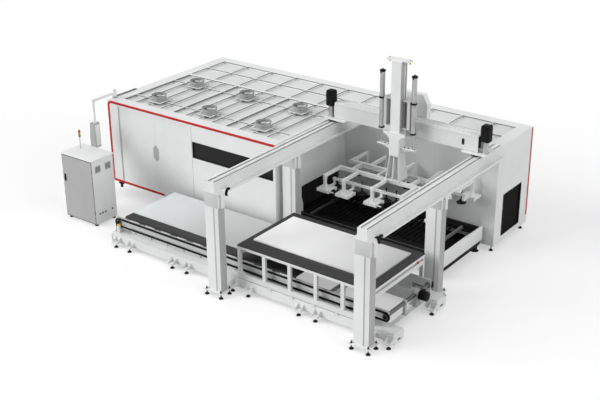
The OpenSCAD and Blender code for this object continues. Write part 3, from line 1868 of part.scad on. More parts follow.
module operator_panel() {
  color(grey_paint)
    at_plan()
      difference() {
        push_y(panel_y - panel_w / 2, panel_w)
          polygon([
            [panel_x + panel_back, panel_z],
            [panel_x + panel_back, panel_top_z],
            [panel_x - panel_top_reach, panel_top_z],
            [panel_x - panel_reach, panel_z + panel_h * panel_desk_share],
            [panel_x - panel_reach, panel_z]
          ]);
        translate([panel_x, panel_y, panel_top_z - swivel_pin_l - slide_gap])
          cylinder(r = swivel_pin_r + shaft_gap, h = swivel_pin_l + slide_gap + over);
        box(panel_x - panel_reach - over, panel_y - screen_w / 2, panel_z + panel_key_z,
          screen_depth + over, screen_w, panel_key_h);
      }
}

// Cutting gantry inside the cabin

module cutting_gantry() {
  color(grey_paint)
    at_plan() {
      for (y = [bed_y0, bed_y1])
        box(cut_x, y, bed_top_z + bed_rail_h + slide_gap, cut_foot_l, bed_wall_w, cut_foot_h);
      box(cut_x + (cut_foot_l - cut_beam_w) / 2, bed_y0, cut_beam_z, cut_beam_w,
        bed_y1 - bed_y0 + bed_wall_w, cut_beam_h);
    }
}

module cutting_carriage() {
  color(white_paint)
    at_plan() {
      x0 = cut_x + (cut_foot_l + cut_beam_w) / 2 + slide_gap;
      box(x0, cut_y, cut_carriage_z, cut_carriage_t, cut_carriage_w, cut_carriage_h);
    }
}

module cutting_head() {
  color(steel)
    at_plan()
      translate([cut_x + (cut_foot_l + cut_beam_w) / 2 + slide_gap + cut_carriage_t + cut_clamp,
        cut_y + cut_carriage_w / 2, cut_nozzle_z]) {
        cylinder(r1 = cut_nozzle_r, r2 = cut_head_r, h = cut_cone_h);
        translate([0, 0, cut_cone_h])
          cylinder(r = cut_head_r, h = cut_head_l);
        translate([-cut_clamp + slide_gap, -cut_clamp / 2, cut_cone_h + cut_head_l / 2])
          cube([cut_clamp, cut_clamp, cut_clamp]);
      }
}

// Drawn parts
machine_bed();
cabin_front();
cabin_side_walls();
cabin_roof();
window_pane();
red_trim();
rear_cabinet();
louver();
levelling_feet();
fan_housings();
slat_table();
gantry_columns();
gantry_beams();
beam_rails();
cable_trays();
conveyor_base();
base_ties();
chain_tracks();
chains();
conveyor_motor();
control_cabinet();
stack_light();
arm_post();
fan_rotor_1();
fan_rotor_2();
fan_rotor_3();
fan_rotor_4();
fan_rotor_5();
fan_rotor_6();
door_left();
door_right();
cabinet_door();
operator_arm();
operator_panel();
exchange_pallet();
bridge_beam();
bridge_carriages();
drive_motors();
drive_gearboxes();
mast_carriage();
balance_cylinders();
cylinder_clamps();
rear_cover();
mast();
mast_head();
buffers();
piston_rods();
suction_frame();
suction_cups();
cart_sides();
cart_deck();
cart_board();
cart_sheet();
low_pallet();
low_sheet();
drive_shaft();
idler_shaft();
cutting_gantry();
cutting_carriage();
cutting_head();
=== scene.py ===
import math

import bmesh
import bpy
from mathutils import Matrix, Vector


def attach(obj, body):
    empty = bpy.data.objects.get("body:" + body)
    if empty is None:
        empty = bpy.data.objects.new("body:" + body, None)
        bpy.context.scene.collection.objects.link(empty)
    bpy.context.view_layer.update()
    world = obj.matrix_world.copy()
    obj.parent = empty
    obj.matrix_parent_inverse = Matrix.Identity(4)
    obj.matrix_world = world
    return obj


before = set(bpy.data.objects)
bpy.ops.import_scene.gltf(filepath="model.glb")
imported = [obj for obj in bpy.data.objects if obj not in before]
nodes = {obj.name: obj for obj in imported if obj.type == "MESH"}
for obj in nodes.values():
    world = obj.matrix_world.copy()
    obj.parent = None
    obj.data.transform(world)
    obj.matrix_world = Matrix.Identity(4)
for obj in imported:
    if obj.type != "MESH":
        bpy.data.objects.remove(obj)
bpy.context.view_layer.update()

# The plan is measured in millimetres from the cabin's left front corner on the floor
MM = 0.001
PLAN_ORIGIN = Vector((4.7885, 0.888, 0.0))
X_AXIS, Y_AXIS, Z_AXIS = Vector((1, 0, 0)), Vector((0, 1, 0)), Vector((0, 0, 1))


def spot(x, y, z):
    """A place in the plan as a point of the scene."""
    return Vector((x, y, z)) * MM - PLAN_ORIGIN


# Shaping

def round_edges(bm, verts, soft, steps):
    edges = list({edge for vert in verts for edge in vert.link_edges})
    bmesh.ops.bevel(bm, geom=edges, offset=soft * MM, offset_type="OFFSET", segments=steps,
                    profile=0.5, affect="EDGES", material=-1, clamp_overlap=True)


def block(bm, low, high, soft=0.0, steps=2):
    """A block between two corners of the plan, with rounded edges."""
    low, high = spot(*low), spot(*high)
    place = Matrix.LocRotScale((low + high) / 2, None, high - low)
    made = bmesh.ops.create_cube(bm, size=1.0, matrix=place)
    if soft:
        round_edges(bm, made["verts"], soft, steps)


def leaning_block(bm, centre, size, turn, soft=0.0, steps=2):
    """A rounded block about a centre, turned by a rotation matrix."""
    place = Matrix.LocRotScale(spot(*centre), turn.to_quaternion(), Vector(size) * MM)
    made = bmesh.ops.create_cube(bm, size=1.0, matrix=place)
    if soft:
        round_edges(bm, made["verts"], soft, steps)


def turned(bm, place, axis, profile, steps=16, closed=False):
    """A turned shape: radius and height pairs spun about an axis through a place."""
    base = spot(*place)
    side = axis.orthogonal().normalized()
    line = [bm.verts.new(base + side * radius * MM + axis * height * MM) for radius, height in profile]
    pairs = list(zip(line, line[1:]))
    if closed:
        pairs.append((line[-1], line[0]))
    edges = [bm.edges.new(pair) for pair in pairs]
    known = set(bm.verts) - set(line)
    bmesh.ops.spin(bm, geom=line + edges, cent=base, axis=axis, angle=math.tau, steps=steps,
                   use_merge=True, use_duplicate=False)
    fresh = [vert for vert in bm.verts if vert not in known]
    bmesh.ops.remove_doubles(bm, verts=fresh, dist=0.01 * MM)


def ring(bm, place, axis, radius, wire, height=0.0, steps=24, sides=8):
    """A round wire bent to a ring."""
    profile = [(radius + wire * math.cos(math.tau * k / sides), height + wire * math.sin(math.tau * k / sides))
               for k in range(sides)]
    turned(bm, place, axis, profile, steps, closed=True)


def picture_frame(bm, low, high, band, across, along, soft=0.0):
    """Four flat bars round a rectangle: across and along are the two axis numbers of its plane."""
    for axis, other in ((across, along), (along, across)):
        for end in (0, 1):
            start, stop = list(low), list(high)
            if end:
                start[axis] = high[axis] - band
            else:
                stop[axis] = low[axis] + band
            if axis == along:
                start[other] += band
                stop[other] -= band
            block(bm, start, stop, soft)


def bolt_head(bm, place, axis, radius, height, steps=6):
    profile = [(radius, 0), (radius, height * 0.75), (radius * 0.8, height), (0, height)]
    turned(bm, place, axis, profile, steps)


def piece(name, bm, finish, body):
    """Turns a finished bmesh into a piece that rides on a body."""
    bmesh.ops.recalc_face_normals(bm, faces=bm.faces)
    mesh = bpy.data.meshes.new(name)
    bm.to_mesh(mesh)
    bm.free()
    mesh.materials.append(finish)
    mesh.polygons.foreach_set("use_smooth", [True] * len(mesh.polygons))
    mesh.set_sharp_from_angle(angle=math.radians(35))
    obj = bpy.data.objects.new(name, mesh)
    bpy.context.scene.collection.objects.link(obj)
    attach(obj, body)


# Materials

def linear(code):
    """An sRGB hex colour as linear red, green, blue and alpha."""
    parts = [int(code[i:i + 2], 16) / 255 for i in (1, 3, 5)]
    return [c / 12.92 if c <= 0.04045 else ((c + 0.055) / 1.055) ** 2.4 for c in parts] + [1.0]


def add(tree, kind, links=(), stops=None, **settings):
    """Adds one node, sets its values and colour stops, and links other nodes into it."""
    made = tree.nodes.new(kind)
    for name, value in settings.items():
        if hasattr(made, name):
            setattr(made, name, value)
        else:
            made.inputs[name.replace("_", " ")].default_value = value
    for index, (where, code) in enumerate(stops or []):
        stop = made.color_ramp.elements[index] if index < 2 else made.color_ramp.elements.new(where)
        stop.position = where
        stop.color = linear(code)
    for source, socket in links:
        tree.links.new(source, made.inputs[socket])
    return made


def blank(name):
    made = bpy.data.materials.new(name)
    made.use_nodes = True
    made.node_tree.nodes.clear()
    return made, made.node_tree


def coated_steel(name, colour, shade, rough, peel=0.12, shine=0.5):
    """Powder-coated sheet steel: an even satin skin, a little cloudy over metres, with a fine orange peel."""
    made, tree = blank(name)
    place = add(tree, "ShaderNodeTexCoord").outputs["Object"]
    # Clouds about 1.2 m wide, from handling and dust
    clouds = add(tree, "ShaderNodeTexNoise", [(place, "Vector")], Scale=1 / 1.2, Detail=4.0, Roughness=0.55)
    # Specks about 40 mm wide, coarser than the real peel so that they show
    peel_noise = add(tree, "ShaderNodeTexNoise", [(place, "Vector")], Scale=1 / 0.04, Detail=2.0)
    tone = add(tree, "ShaderNodeValToRGB", [(clouds.outputs["Fac"], "Fac")],
               stops=[(0.34, shade), (0.6, colour)])
    gloss = add(tree, "ShaderNodeMapRange", [(clouds.outputs["Fac"], "Value")],
                From_Min=0.3, From_Max=0.7, To_Min=rough + 0.06, To_Max=rough - 0.06)
    bump = add(tree, "ShaderNodeBump", [(peel_noise.outputs["Fac"], "Height")], Strength=peel, Distance=0.002)
    skin = add(tree, "ShaderNodeBsdfPrincipled",
               [(tone.outputs["Color"], "Base Color"), (gloss.outputs["Result"], "Roughness"),
                (bump.outputs["Normal"], "Normal")], Specular_IOR_Level=shine)
    add(tree, "ShaderNodeOutputMaterial", [(skin.outputs["BSDF"], "Surface")])
    return made


def scorched_steel(name):
    """Mild steel slats blackened by cutting: soot, brown heat marks and grey spatter."""
    made, tree = blank(name)
    place = add(tree, "ShaderNodeTexCoord").outputs["Object"]
    # Heat marks about 250 mm wide
    marks = add(tree, "ShaderNodeTexNoise", [(place, "Vector")], Scale=1 / 0.25, Detail=6.0, Roughness=0.65)
    # Spatter about 15 mm wide
    spatter = add(tree, "ShaderNodeTexVoronoi", [(place, "Vector")], Scale=1 / 0.015)
    tone = add(tree, "ShaderNodeValToRGB", [(marks.outputs["Fac"], "Fac")],
               stops=[(0.3, "#0c0c0c"), (0.55, "#171616"), (0.75, "#2a2826")])
    bump = add(tree, "ShaderNodeBump", [(spatter.outputs["Distance"], "Height")], Strength=0.3, Distance=0.003)
    skin = add(tree, "ShaderNodeBsdfPrincipled",
               [(tone.outputs["Color"], "Base Color"), (bump.outputs["Normal"], "Normal")],
               Roughness=0.7, Specular_IOR_Level=0.2)
    add(tree, "ShaderNodeOutputMaterial", [(skin.outputs["BSDF"], "Surface")])
    return made


def filmed_board(name):
    """Film-faced plywood: a charcoal resin face with a pressed wire mesh and rubbed lighter streaks."""
    made, tree = blank(name)
    place = add(tree, "ShaderNodeTexCoord").outputs["Object"]
    # Streaks drawn out to about 1.5 m along the board and 60 mm across it
    drawn = add(tree, "ShaderNodeMapping", [(place, "Vector")], Scale=(1 / 1.5, 1 / 0.06, 1.0))
    streaks = add(tree, "ShaderNodeTexNoise", [(drawn.outputs["Vector"], "Vector")], Scale=1.0, Detail=5.0)
    # Mesh squares of 6 mm, drawn at 30 mm so that they show
    mesh = add(tree, "ShaderNodeTexChecker", [(place, "Vector")], Scale=1 / 0.03)
    tone = add(tree, "ShaderNodeValToRGB", [(streaks.outputs["Fac"], "Fac")],
               stops=[(0.35, "#272728"), (0.7, "#333334")])
    bump = add(tree, "ShaderNodeBump", [(mesh.outputs["Fac"], "Height")], Strength=0.15, Distance=0.001)
    skin = add(tree, "ShaderNodeBsdfPrincipled",
               [(tone.outputs["Color"], "Base Color"), (bump.outputs["Normal"], "Normal")],
               Roughness=0.55, Specular_IOR_Level=0.25)
    add(tree, "ShaderNodeOutputMaterial", [(skin.outputs["BSDF"], "Surface")])
    return made


def sheen_painted_sheet(name, bright, dull, start, stop, metal):
    """Cold-rolled steel sheet with a painted reflection: bright at its left end, duller to the right."""
    made, tree = blank(name)
    place = add(tree, "ShaderNodeTexCoord").outputs["Object"]
    # Painted reflection fading over the length of the sheet, with clouds about 1.5 m wide in it
    along = add(tree, "ShaderNodeSeparateXYZ", [(place, "Vector")])
    sheen_fade = add(tree, "ShaderNodeMapRange", [(along.outputs["X"], "Value")], From_Min=start, From_Max=stop)
    clouds = add(tree, "ShaderNodeTexNoise", [(place, "Vector")], Scale=1 / 1.5, Detail=2.0)
    mixed = add(tree, "ShaderNodeMath", [(clouds.outputs["Fac"], 0), (sheen_fade.outputs["Result"], 2)],
                operation="MULTIPLY_ADD")
    mixed.inputs[1].default_value = 0.3
    tone = add(tree, "ShaderNodeValToRGB", [(mixed.outputs[0], "Fac")], stops=[(0.15, bright), (1.1, dull)])
    # Rolling streaks about 2 m long and 12 mm wide
    drawn = add(tree, "ShaderNodeMapping", [(place, "Vector")], Scale=(1 / 2.0, 1 / 0.012, 1 / 0.012))
    streaks = add(tree, "ShaderNodeTexNoise", [(drawn.outputs["Vector"], "Vector")], Scale=1.0, Detail=3.0)
    gloss = add(tree, "ShaderNodeMapRange", [(streaks.outputs["Fac"], "Value")],
                From_Min=0.3, From_Max=0.7, To_Min=0.3, To_Max=0.4)
    skin = add(tree, "ShaderNodeBsdfPrincipled",
               [(tone.outputs["Color"], "Base Color"), (gloss.outputs["Result"], "Roughness")], Metallic=metal)
    add(tree, "ShaderNodeOutputMaterial", [(skin.outputs["BSDF"], "Surface")])
    return made


def machined_metal(name, colour, shade, rough):
    """Turned or milled metal: fine tool marks, a soft sheen and slightly dull patches."""
    made, tree = blank(name)
    place = add(tree, "ShaderNodeTexCoord").outputs["Object"]
    # Tool marks of 1 mm, drawn at 8 mm so that they show
    marks = add(tree, "ShaderNodeTexNoise", [(place, "Vector")], Scale=1 / 0.008, Detail=2.0)
    # Dull patches about 200 mm wide
    patches = add(tree, "ShaderNodeTexNoise", [(place, "Vector")], Scale=1 / 0.2, Detail=3.0)
    tone = add(tree, "ShaderNodeValToRGB", [(patches.outputs["Fac"], "Fac")],
               stops=[(0.3, shade), (0.65, colour)])
    bump = add(tree, "ShaderNodeBump", [(marks.outputs["Fac"], "Height")], Strength=0.1, Distance=0.001)
    skin = add(tree, "ShaderNodeBsdfPrincipled",
               [(tone.outputs["Color"], "Base Color"), (bump.outputs["Normal"], "Normal")],
               Metallic=0.9, Roughness=rough)
    add(tree, "ShaderNodeOutputMaterial", [(skin.outputs["BSDF"], "Surface")])
    return made


def moulded(name, colour, shade, rough):
    """Moulded rubber or urethane: matt, slightly dusty, with a fine grain."""
    made, tree = blank(name)
    place = add(tree, "ShaderNodeTexCoord").outputs["Object"]
    # Dust about 80 mm wide and mould grain of 1 mm, drawn at 10 mm so that it shows
    dust = add(tree, "ShaderNodeTexNoise", [(place, "Vector")], Scale=1 / 0.08, Detail=4.0)
    grain = add(tree, "ShaderNodeTexNoise", [(place, "Vector")], Scale=1 / 0.01, Detail=2.0)
    tone = add(tree, "ShaderNodeValToRGB", [(dust.outputs["Fac"], "Fac")],
               stops=[(0.35, colour), (0.7, shade)])
    bump = add(tree, "ShaderNodeBump", [(grain.outputs["Fac"], "Height")], Strength=0.2, Distance=0.001)
    skin = add(tree, "ShaderNodeBsdfPrincipled",
               [(tone.outputs["Color"], "Base Color"), (bump.outputs["Normal"], "Normal")],
               Roughness=rough, Specular_IOR_Level=0.25)
    add(tree, "ShaderNodeOutputMaterial", [(skin.outputs["BSDF"], "Surface")])
    return made


def tinted_acrylic(name, colour, shade, rough=0.08, shine=0.5):
    """Tinted acrylic: deep colour under a glossy face with faint waves."""
    made, tree = blank(name)
    place = add(tree, "ShaderNodeTexCoord").outputs["Object"]
    # Casting waves about 300 mm wide
    waves = add(tree, "ShaderNodeTexNoise", [(place, "Vector")], Scale=1 / 0.3, Detail=1.0)
    tone = add(tree, "ShaderNodeValToRGB", [(waves.outputs["Fac"], "Fac")],
               stops=[(0.3, shade), (0.7, colour)])
    bump = add(tree, "ShaderNodeBump", [(waves.outputs["Fac"], "Height")], Strength=0.05, Distance=0.002)
    skin = add(tree, "ShaderNodeBsdfPrincipled",
               [(tone.outputs["Color"], "Base Color"), (bump.outputs["Normal"], "Normal")],
               Roughness=rough, IOR=1.49, Specular_IOR_Level=shine)
    add(tree, "ShaderNodeOutputMaterial", [(skin.outputs["BSDF"], "Surface")])
    return made


white_coat = coated_steel("white_powder_coat", "#e6e7e7", "#dfe0e0", 0.45)
# A darker copy of the white coat: painted shade on the sunk roof fields, the bridge and the cart's side rails; the fan
# base frames share it to blend with the fields
shaded_white_coat = coated_steel("white_coat_painted_shade", "#dcdddd", "#d6d7d7", 0.45)
# Pale grey coat: painted shade on the chain tracks under the board, the mast carriage and the bridge's lips; the column
# head plates' own paint
pale_coat_and_shade = coated_steel("pale_grey_coat_and_painted_shade", "#c8c9c9", "#c1c2c2", 0.45)
grey_coat = coated_steel("grey_powder_coat", "#b0b0b0", "#a9a9a9", 0.45)
drum_zinc = coated_steel("galvanised_drum", "#a6a7a7", "#999a9b", 0.4)
slate_coat = coated_steel("slate_grey_coat", "#6e6f70", "#646566", 0.5, shine=0.3)
red_enamel = coated_steel("red_enamel", "#c0141f", "#b0121b", 0.35, shine=0.3)
black_coat = coated_steel("black_wrinkle_coat", "#121213", "#0e0e0f", 0.65, peel=0.3, shine=0.12)
slat_steel = scorched_steel("scorched_slat_steel")
board_film = filmed_board("film_faced_board")
# Both sheets carry a painted reflection, brightest at one end
low_sheen_sheet = sheen_painted_sheet("low_sheet_painted_sheen", "#e9edee", "#c4c6c5", -2.5, 0.0, 0.45)
cart_sheen_sheet = sheen_painted_sheet("cart_sheet_painted_sheen", "#ffffff", "#b8b8b9", 2.2, 4.5, 0.1)
tool_steel = machined_metal("machined_steel", "#bcbcbc", "#a4a4a4", 0.32)
rail_steel = machined_metal("ground_rail_steel", "#eeefef", "#e0e1e1", 0.35)
chain_steel = machined_metal("blued_chain_steel", "#1b1b1c", "#121213", 0.5)
shaft_steel = machined_metal("oiled_shaft_steel", "#6d6e70", "#5a5b5d", 0.4)
brass = machined_metal("turned_brass", "#c9a24a", "#a98434", 0.28)
black_rubber = moulded("black_rubber", "#121212", "#1b1b1b", 0.75)
# Grey rubber for the door edge seals, and painted shade on the walls of the sunk roof fields
seam_rubber_and_shade = moulded("grey_seam_rubber_and_painted_shade", "#7c7d7e", "#707172", 0.75)
yellow_urethane = moulded("yellow_urethane", "#c8d42a", "#b4c024", 0.4)
smoked_pane = tinted_acrylic("smoked_acrylic", "#141613", "#0f110f", 0.12, shine=0.2)
screen_glass = tinted_acrylic("screen_glass", "#15191c", "#101315")
red_lens = tinted_acrylic("red_lens", "#c4232b", "#a81c24", 0.2)
amber_lens = tinted_acrylic("amber_lens", "#d99a23", "#c4861c", 0.2)
green_lens = tinted_acrylic("green_lens", "#2f9a4b", "#27833f", 0.2)

finishes = {
    white_coat: ("cabin_front", "cabin_side_walls", "cabin_roof", "rear_cabinet", "gantry_columns",
                 "gantry_beams", "cable_trays", "conveyor_base", "base_ties",
                 "control_cabinet", "door_left", "door_right", "operator_arm",
                 "bridge_carriages", "rear_cover", "mast", "mast_head",
                 "suction_frame", "cart_deck", "cutting_carriage"),
    # Bridge and cart side rails in the darker white: painted shade
    shaded_white_coat: ("bridge_beam", "cart_sides"),
    drum_zinc: ("fan_housings",),
    grey_coat: ("cabinet_door", "operator_panel", "arm_post", "machine_bed", "cutting_gantry"),
    # Chain tracks under the board and the mast carriage in pale grey: painted shade
    pale_coat_and_shade: ("chain_tracks", "mast_carriage"),
    red_enamel: ("red_trim",),
    black_coat: ("louver", "drive_motors", "cylinder_clamps", "conveyor_motor"),
    slat_steel: ("slat_table", "exchange_pallet"),
    chain_steel: ("chains",),
    shaft_steel: ("drive_shaft", "idler_shaft"),
    board_film: ("cart_board", "low_pallet"),
    cart_sheen_sheet: ("cart_sheet",),
    low_sheen_sheet: ("low_sheet",),
    rail_steel: ("beam_rails",),
    tool_steel: ("drive_gearboxes", "balance_cylinders", "piston_rods",
                 "stack_light", "cutting_head", "fan_rotor_1", "fan_rotor_2",
                 "fan_rotor_3", "fan_rotor_4", "fan_rotor_5", "fan_rotor_6"),
    black_rubber: ("levelling_feet", "suction_cups"),
    yellow_urethane: ("buffers",),
    smoked_pane: ("window_pane",),
}
for finish, names in finishes.items():
    for name in names:
        node = nodes[name]
        if not node.material_slots:
            node.data.materials.append(finish)
        for slot in node.material_slots:
            slot.material = finish


# Camera, floor and light

CAMERA_PLACE = spot(19084, -17443, 11270)
CAMERA_TURN, CAMERA_DIP, CAMERA_LEAN = (math.radians(a) for a in (37.132, 24.289, -0.513))

lens = bpy.data.cameras.new("photo_camera")
lens.sensor_width = 36.0
lens.lens = 65.86
camera = bpy.data.objects.new("photo_camera", lens)
camera.location = CAMERA_PLACE
camera.rotation_euler = (Matrix.Rotation(CAMERA_TURN, 3, "Z") @ Matrix.Rotation(math.pi / 2 - CAMERA_DIP, 3, "X")
                         @ Matrix.Rotation(CAMERA_LEAN, 3, "Z")).to_euler()
bpy.context.scene.collection.objects.link(camera)
bpy.context.scene.camera = camera
bpy.context.scene.view_settings.view_transform = "Standard"


FLOOR_SIZE, FLOOR_LIFT = 150.0, 0.42
SKY_LEVEL = 0.24


def looked_at(tree):
    """One for rays from the eye, in reflections and through glass, and nought for the light on the object."""
    path = add(tree, "ShaderNodeLightPath")
    seen = add(tree, "ShaderNodeMath", [(path.outputs["Is Camera Ray"], 0), (path.outputs["Is Glossy Ray"], 1)],
               operation="MAXIMUM")
    through = add(tree, "ShaderNodeMath", [(seen.outputs[0], 0), (path.outputs["Is Transmission Ray"], 1)],
                  operation="MAXIMUM")
    return through.outputs[0]


def studio_floor():
    """A plain white floor that keeps the shadows and looks white to the eye and in reflections."""
    made, tree = blank("studio_floor")
    lift = add(tree, "ShaderNodeMath", [(looked_at(tree), 0)], operation="MULTIPLY")
    lift.inputs[1].default_value = FLOOR_LIFT
    matt = add(tree, "ShaderNodeBsdfDiffuse", Color=linear("#cbcbcb"))
    glow = add(tree, "ShaderNodeEmission", [(lift.outputs[0], "Strength")])
    both = add(tree, "ShaderNodeAddShader", [(matt.outputs[0], 0), (glow.outputs[0], 1)])
    add(tree, "ShaderNodeOutputMaterial", [(both.outputs[0], "Surface")])
    bm = bmesh.new()
    bmesh.ops.create_grid(bm, x_segments=1, y_segments=1, size=FLOOR_SIZE)
    mesh = bpy.data.meshes.new("studio_floor")
    bm.to_mesh(mesh)
    bm.free()
    mesh.materials.append(made)
    floor = bpy.data.objects.new("studio_floor", mesh)
    bpy.context.scene.collection.objects.link(floor)


def studio_sky():
    """An even sky: white to the eye and in reflections, a plain level on the object."""
    sky = bpy.data.worlds.new("studio_sky")
    sky.use_nodes = True
    tree = sky.node_tree
    tree.nodes.clear()
    level = add(tree, "ShaderNodeMapRange", [(looked_at(tree), "Value")], To_Min=SKY_LEVEL, To_Max=1.0)
    light = add(tree, "ShaderNodeBackground", [(level.outputs["Result"], "Strength")], Color=linear("#ffffff"))
    add(tree, "ShaderNodeOutputWorld", [(light.outputs[0], "Surface")])
    bpy.context.scene.world = sky


def studio_lamp(name, towards, level, spread):
    """A soft far lamp that shines towards a direction."""
    lamp = bpy.data.lights.new(name, "SUN")
    lamp.energy = level
    lamp.angle = math.radians(spread)
    holder = bpy.data.objects.new(name, lamp)
    holder.rotation_euler = Vector(towards).to_track_quat("-Z", "Y").to_euler()
    bpy.context.scene.collection.objects.link(holder)


studio_floor()
studio_sky()
studio_lamp("front_lamp", (0.70, 0.66, -0.42), 2.3, 42)
studio_lamp("right_lamp", (-0.87, 0.0, -0.49), 1.35, 50)
studio_lamp("top_lamp", (0.1, 0.1, -1.0), 0.72, 60)


# Control cabinet

CABINET_FRONT, CABINET_RIGHT, CABINET_TOP = -1615, 1046, 1650
VENT_YS = (-1433, -1111)


def cabinet_details():
    bm = bmesh.new()
    block(bm, (24, CABINET_FRONT - 13, CABINET_TOP), (1058, -902, CABINET_TOP + 32), 14, 3)
    piece("cabinet_lid", bm, white_coat, "frame")

    bm = bmesh.new()
    picture_frame(bm, (40, CABINET_FRONT - 3, 64), (1042, CABINET_FRONT, 1646), 11, 0, 2)
    piece("cabinet_door_seal", bm, black_rubber, "frame")

    bm = bmesh.new()
    block(bm, (76, CABINET_FRONT - 8, 970), (130, CABINET_FRONT, 1150), 6)
    block(bm, (88, CABINET_FRONT - 26, 990), (118, CABINET_FRONT - 6, 1090), 9)
    bolt_head(bm, (103, CABINET_FRONT - 8, 1122), -Y_AXIS, 14, 10, 12)
    piece("cabinet_latch", bm, black_coat, "cabinet_door")

    bm = bmesh.new()
    for y in VENT_YS:
        picture_frame(bm, (CABINET_RIGHT, y - 87, 1338), (CABINET_RIGHT + 6, y + 87, 1512), 14, 1, 2, 2)
    piece("vent_frames", bm, grey_coat, "frame")

    bm = bmesh.new()
    for y in VENT_YS:
        block(bm, (CABINET_RIGHT - 11.5, y - 74, 1351), (CABINET_RIGHT - 9, y + 74, 1499), 0.5, 1)
    piece("vent_filters", bm, black_rubber, "frame")

    bm = bmesh.new()
    for y in (-1480, -1390, -1300, -1080):
        turned(bm, (CABINET_RIGHT, y, 300), X_AXIS,
               [(24, 0), (24, 8), (16, 11), (16, 24), (10, 28), (0, 28)], 12)
    piece("cabinet_glands", bm, slate_coat, "frame")

    bm = bmesh.new()
    for x in (106, 976):
        for y in (-1545, -985):
            turned(bm, (x, y, 0), Z_AXIS, [(33, 0), (46, 2), (46, 14), (37, 22), (37, 56), (33, 58)], 20, closed=True)
    piece("cabinet_rubbers", bm, black_rubber, "frame")

    for name, level, finish in (("lamp_green", 1980, green_lens), ("lamp_amber", 2038, amber_lens),
                                ("lamp_red", 2096, red_lens)):
        bm = bmesh.new()
        profile = [(26.4, 1), (29, 3)]
        for k in range(5):
            profile += [(29, 6 + 9 * k), (28, 8 + 9 * k), (28, 9 + 9 * k), (29, 11 + 9 * k)]
        profile += [(29, 49), (26.4, 51)]
        turned(bm, (238, -1181, level), Z_AXIS, profile, 20, closed=True)
        piece(name, bm, finish, "frame")


# Operator arm and panel

ARM_X, ARM_Y, ARM_Z = 70, 200, 2660
PANEL_Y, PANEL_FACE = -510, -55


def operator_details():
    bm = bmesh.new()
    turned(bm, (ARM_X, ARM_Y, 2734.7), Z_AXIS, [(48, -4), (48, 6), (36, 16), (0, 20)], 24)
    for y in (120, -420):
        turned(bm, (ARM_X, y, ARM_Z), -Y_AXIS,
               [(32.5, 0), (39, 3), (39, 27), (32.5, 30)], 24, closed=True)
    turned(bm, (ARM_X, PANEL_Y, 2480), Z_AXIS, [(26.5, 0), (33, 3), (33, 27), (26.5, 30)], 24, closed=True)
    piece("arm_cuffs", bm, white_coat, "arm")

    bm = bmesh.new()
    block(bm, (8, 262, 2535), (44, 984, 2566), 8)
    for y in (330, 610, 880):
        block(bm, (3, y, 2535), (49, y + 26, 2570), 5)
    piece("roof_duct", bm, slate_coat, "frame")

    bm = bmesh.new()
    block(bm, (130, PANEL_Y - 72, 1520), (138, PANEL_Y + 72, 2060), 6)
    piece("panel_back_cover", bm, white_coat, "panel")

    slope = Matrix.Rotation(math.atan2(35, 341), 3, "Y")
    bm = bmesh.new()
    leaning_block(bm, (PANEL_FACE + 15, PANEL_Y, 1932), (8, 138, 250), slope, 3)
    piece("panel_screen", bm, screen_glass, "panel")

    bm = bmesh.new()
    for row in range(4):
        for key in range(4):
            block(bm, (PANEL_FACE - 2, PANEL_Y - 52 + 28 * key, 1552 + 36 * row),
                  (PANEL_FACE + 8, PANEL_Y - 32 + 28 * key, 1580 + 36 * row), 4)
    piece("panel_keys", bm, white_coat, "panel")

    bm = bmesh.new()
    turned(bm, (PANEL_FACE, PANEL_Y + 40, 1730), -X_AXIS,
           [(12, 0), (12, 16), (22, 18), (22, 26), (14, 32), (0, 33)], 20)
    piece("panel_stop_button", bm, red_enamel, "panel")

    bm = bmesh.new()
    for y in (PANEL_Y - 60, PANEL_Y + 60):
        turned(bm, (20, y, 1480), -Z_AXIS, [(9, 0), (9, 46), (0, 46)], 12)
    turned(bm, (20, PANEL_Y - 80, 1436), Y_AXIS, [(0, 0), (11, 0), (13, 4), (13, 156), (11, 160), (0, 160)], 16)
    piece("panel_handle", bm, tool_steel, "panel")


# Cabin and its roof

PORT_FRONT, PORT_BACK = 962, 2475
TRAY_FRONT, TRAY_BACK = 990, 2495
ROOF_TOP = 2535
FAN_BASE_TOP = 2552
FAN_PLACES = [(x, y) for y in (700.2, 2079.2) for x in (1090, 2710, 4330)]


def half_grip(bm, side, front, back, margin):
    """The half of the long six-sided door grip that belongs to one door, as a plate."""
    mid, low, high, half, tip = 1545, 1250 + margin, 1680 - margin, 90 - margin, 90
    corners = [(3, low), (half, low + tip), (half, high - tip), (3, high)]
    verts = [bm.verts.new(spot(mid + side * x, y, z)) for y in (front, back) for x, z in corners]
    bmesh.ops.convex_hull(bm, input=verts)


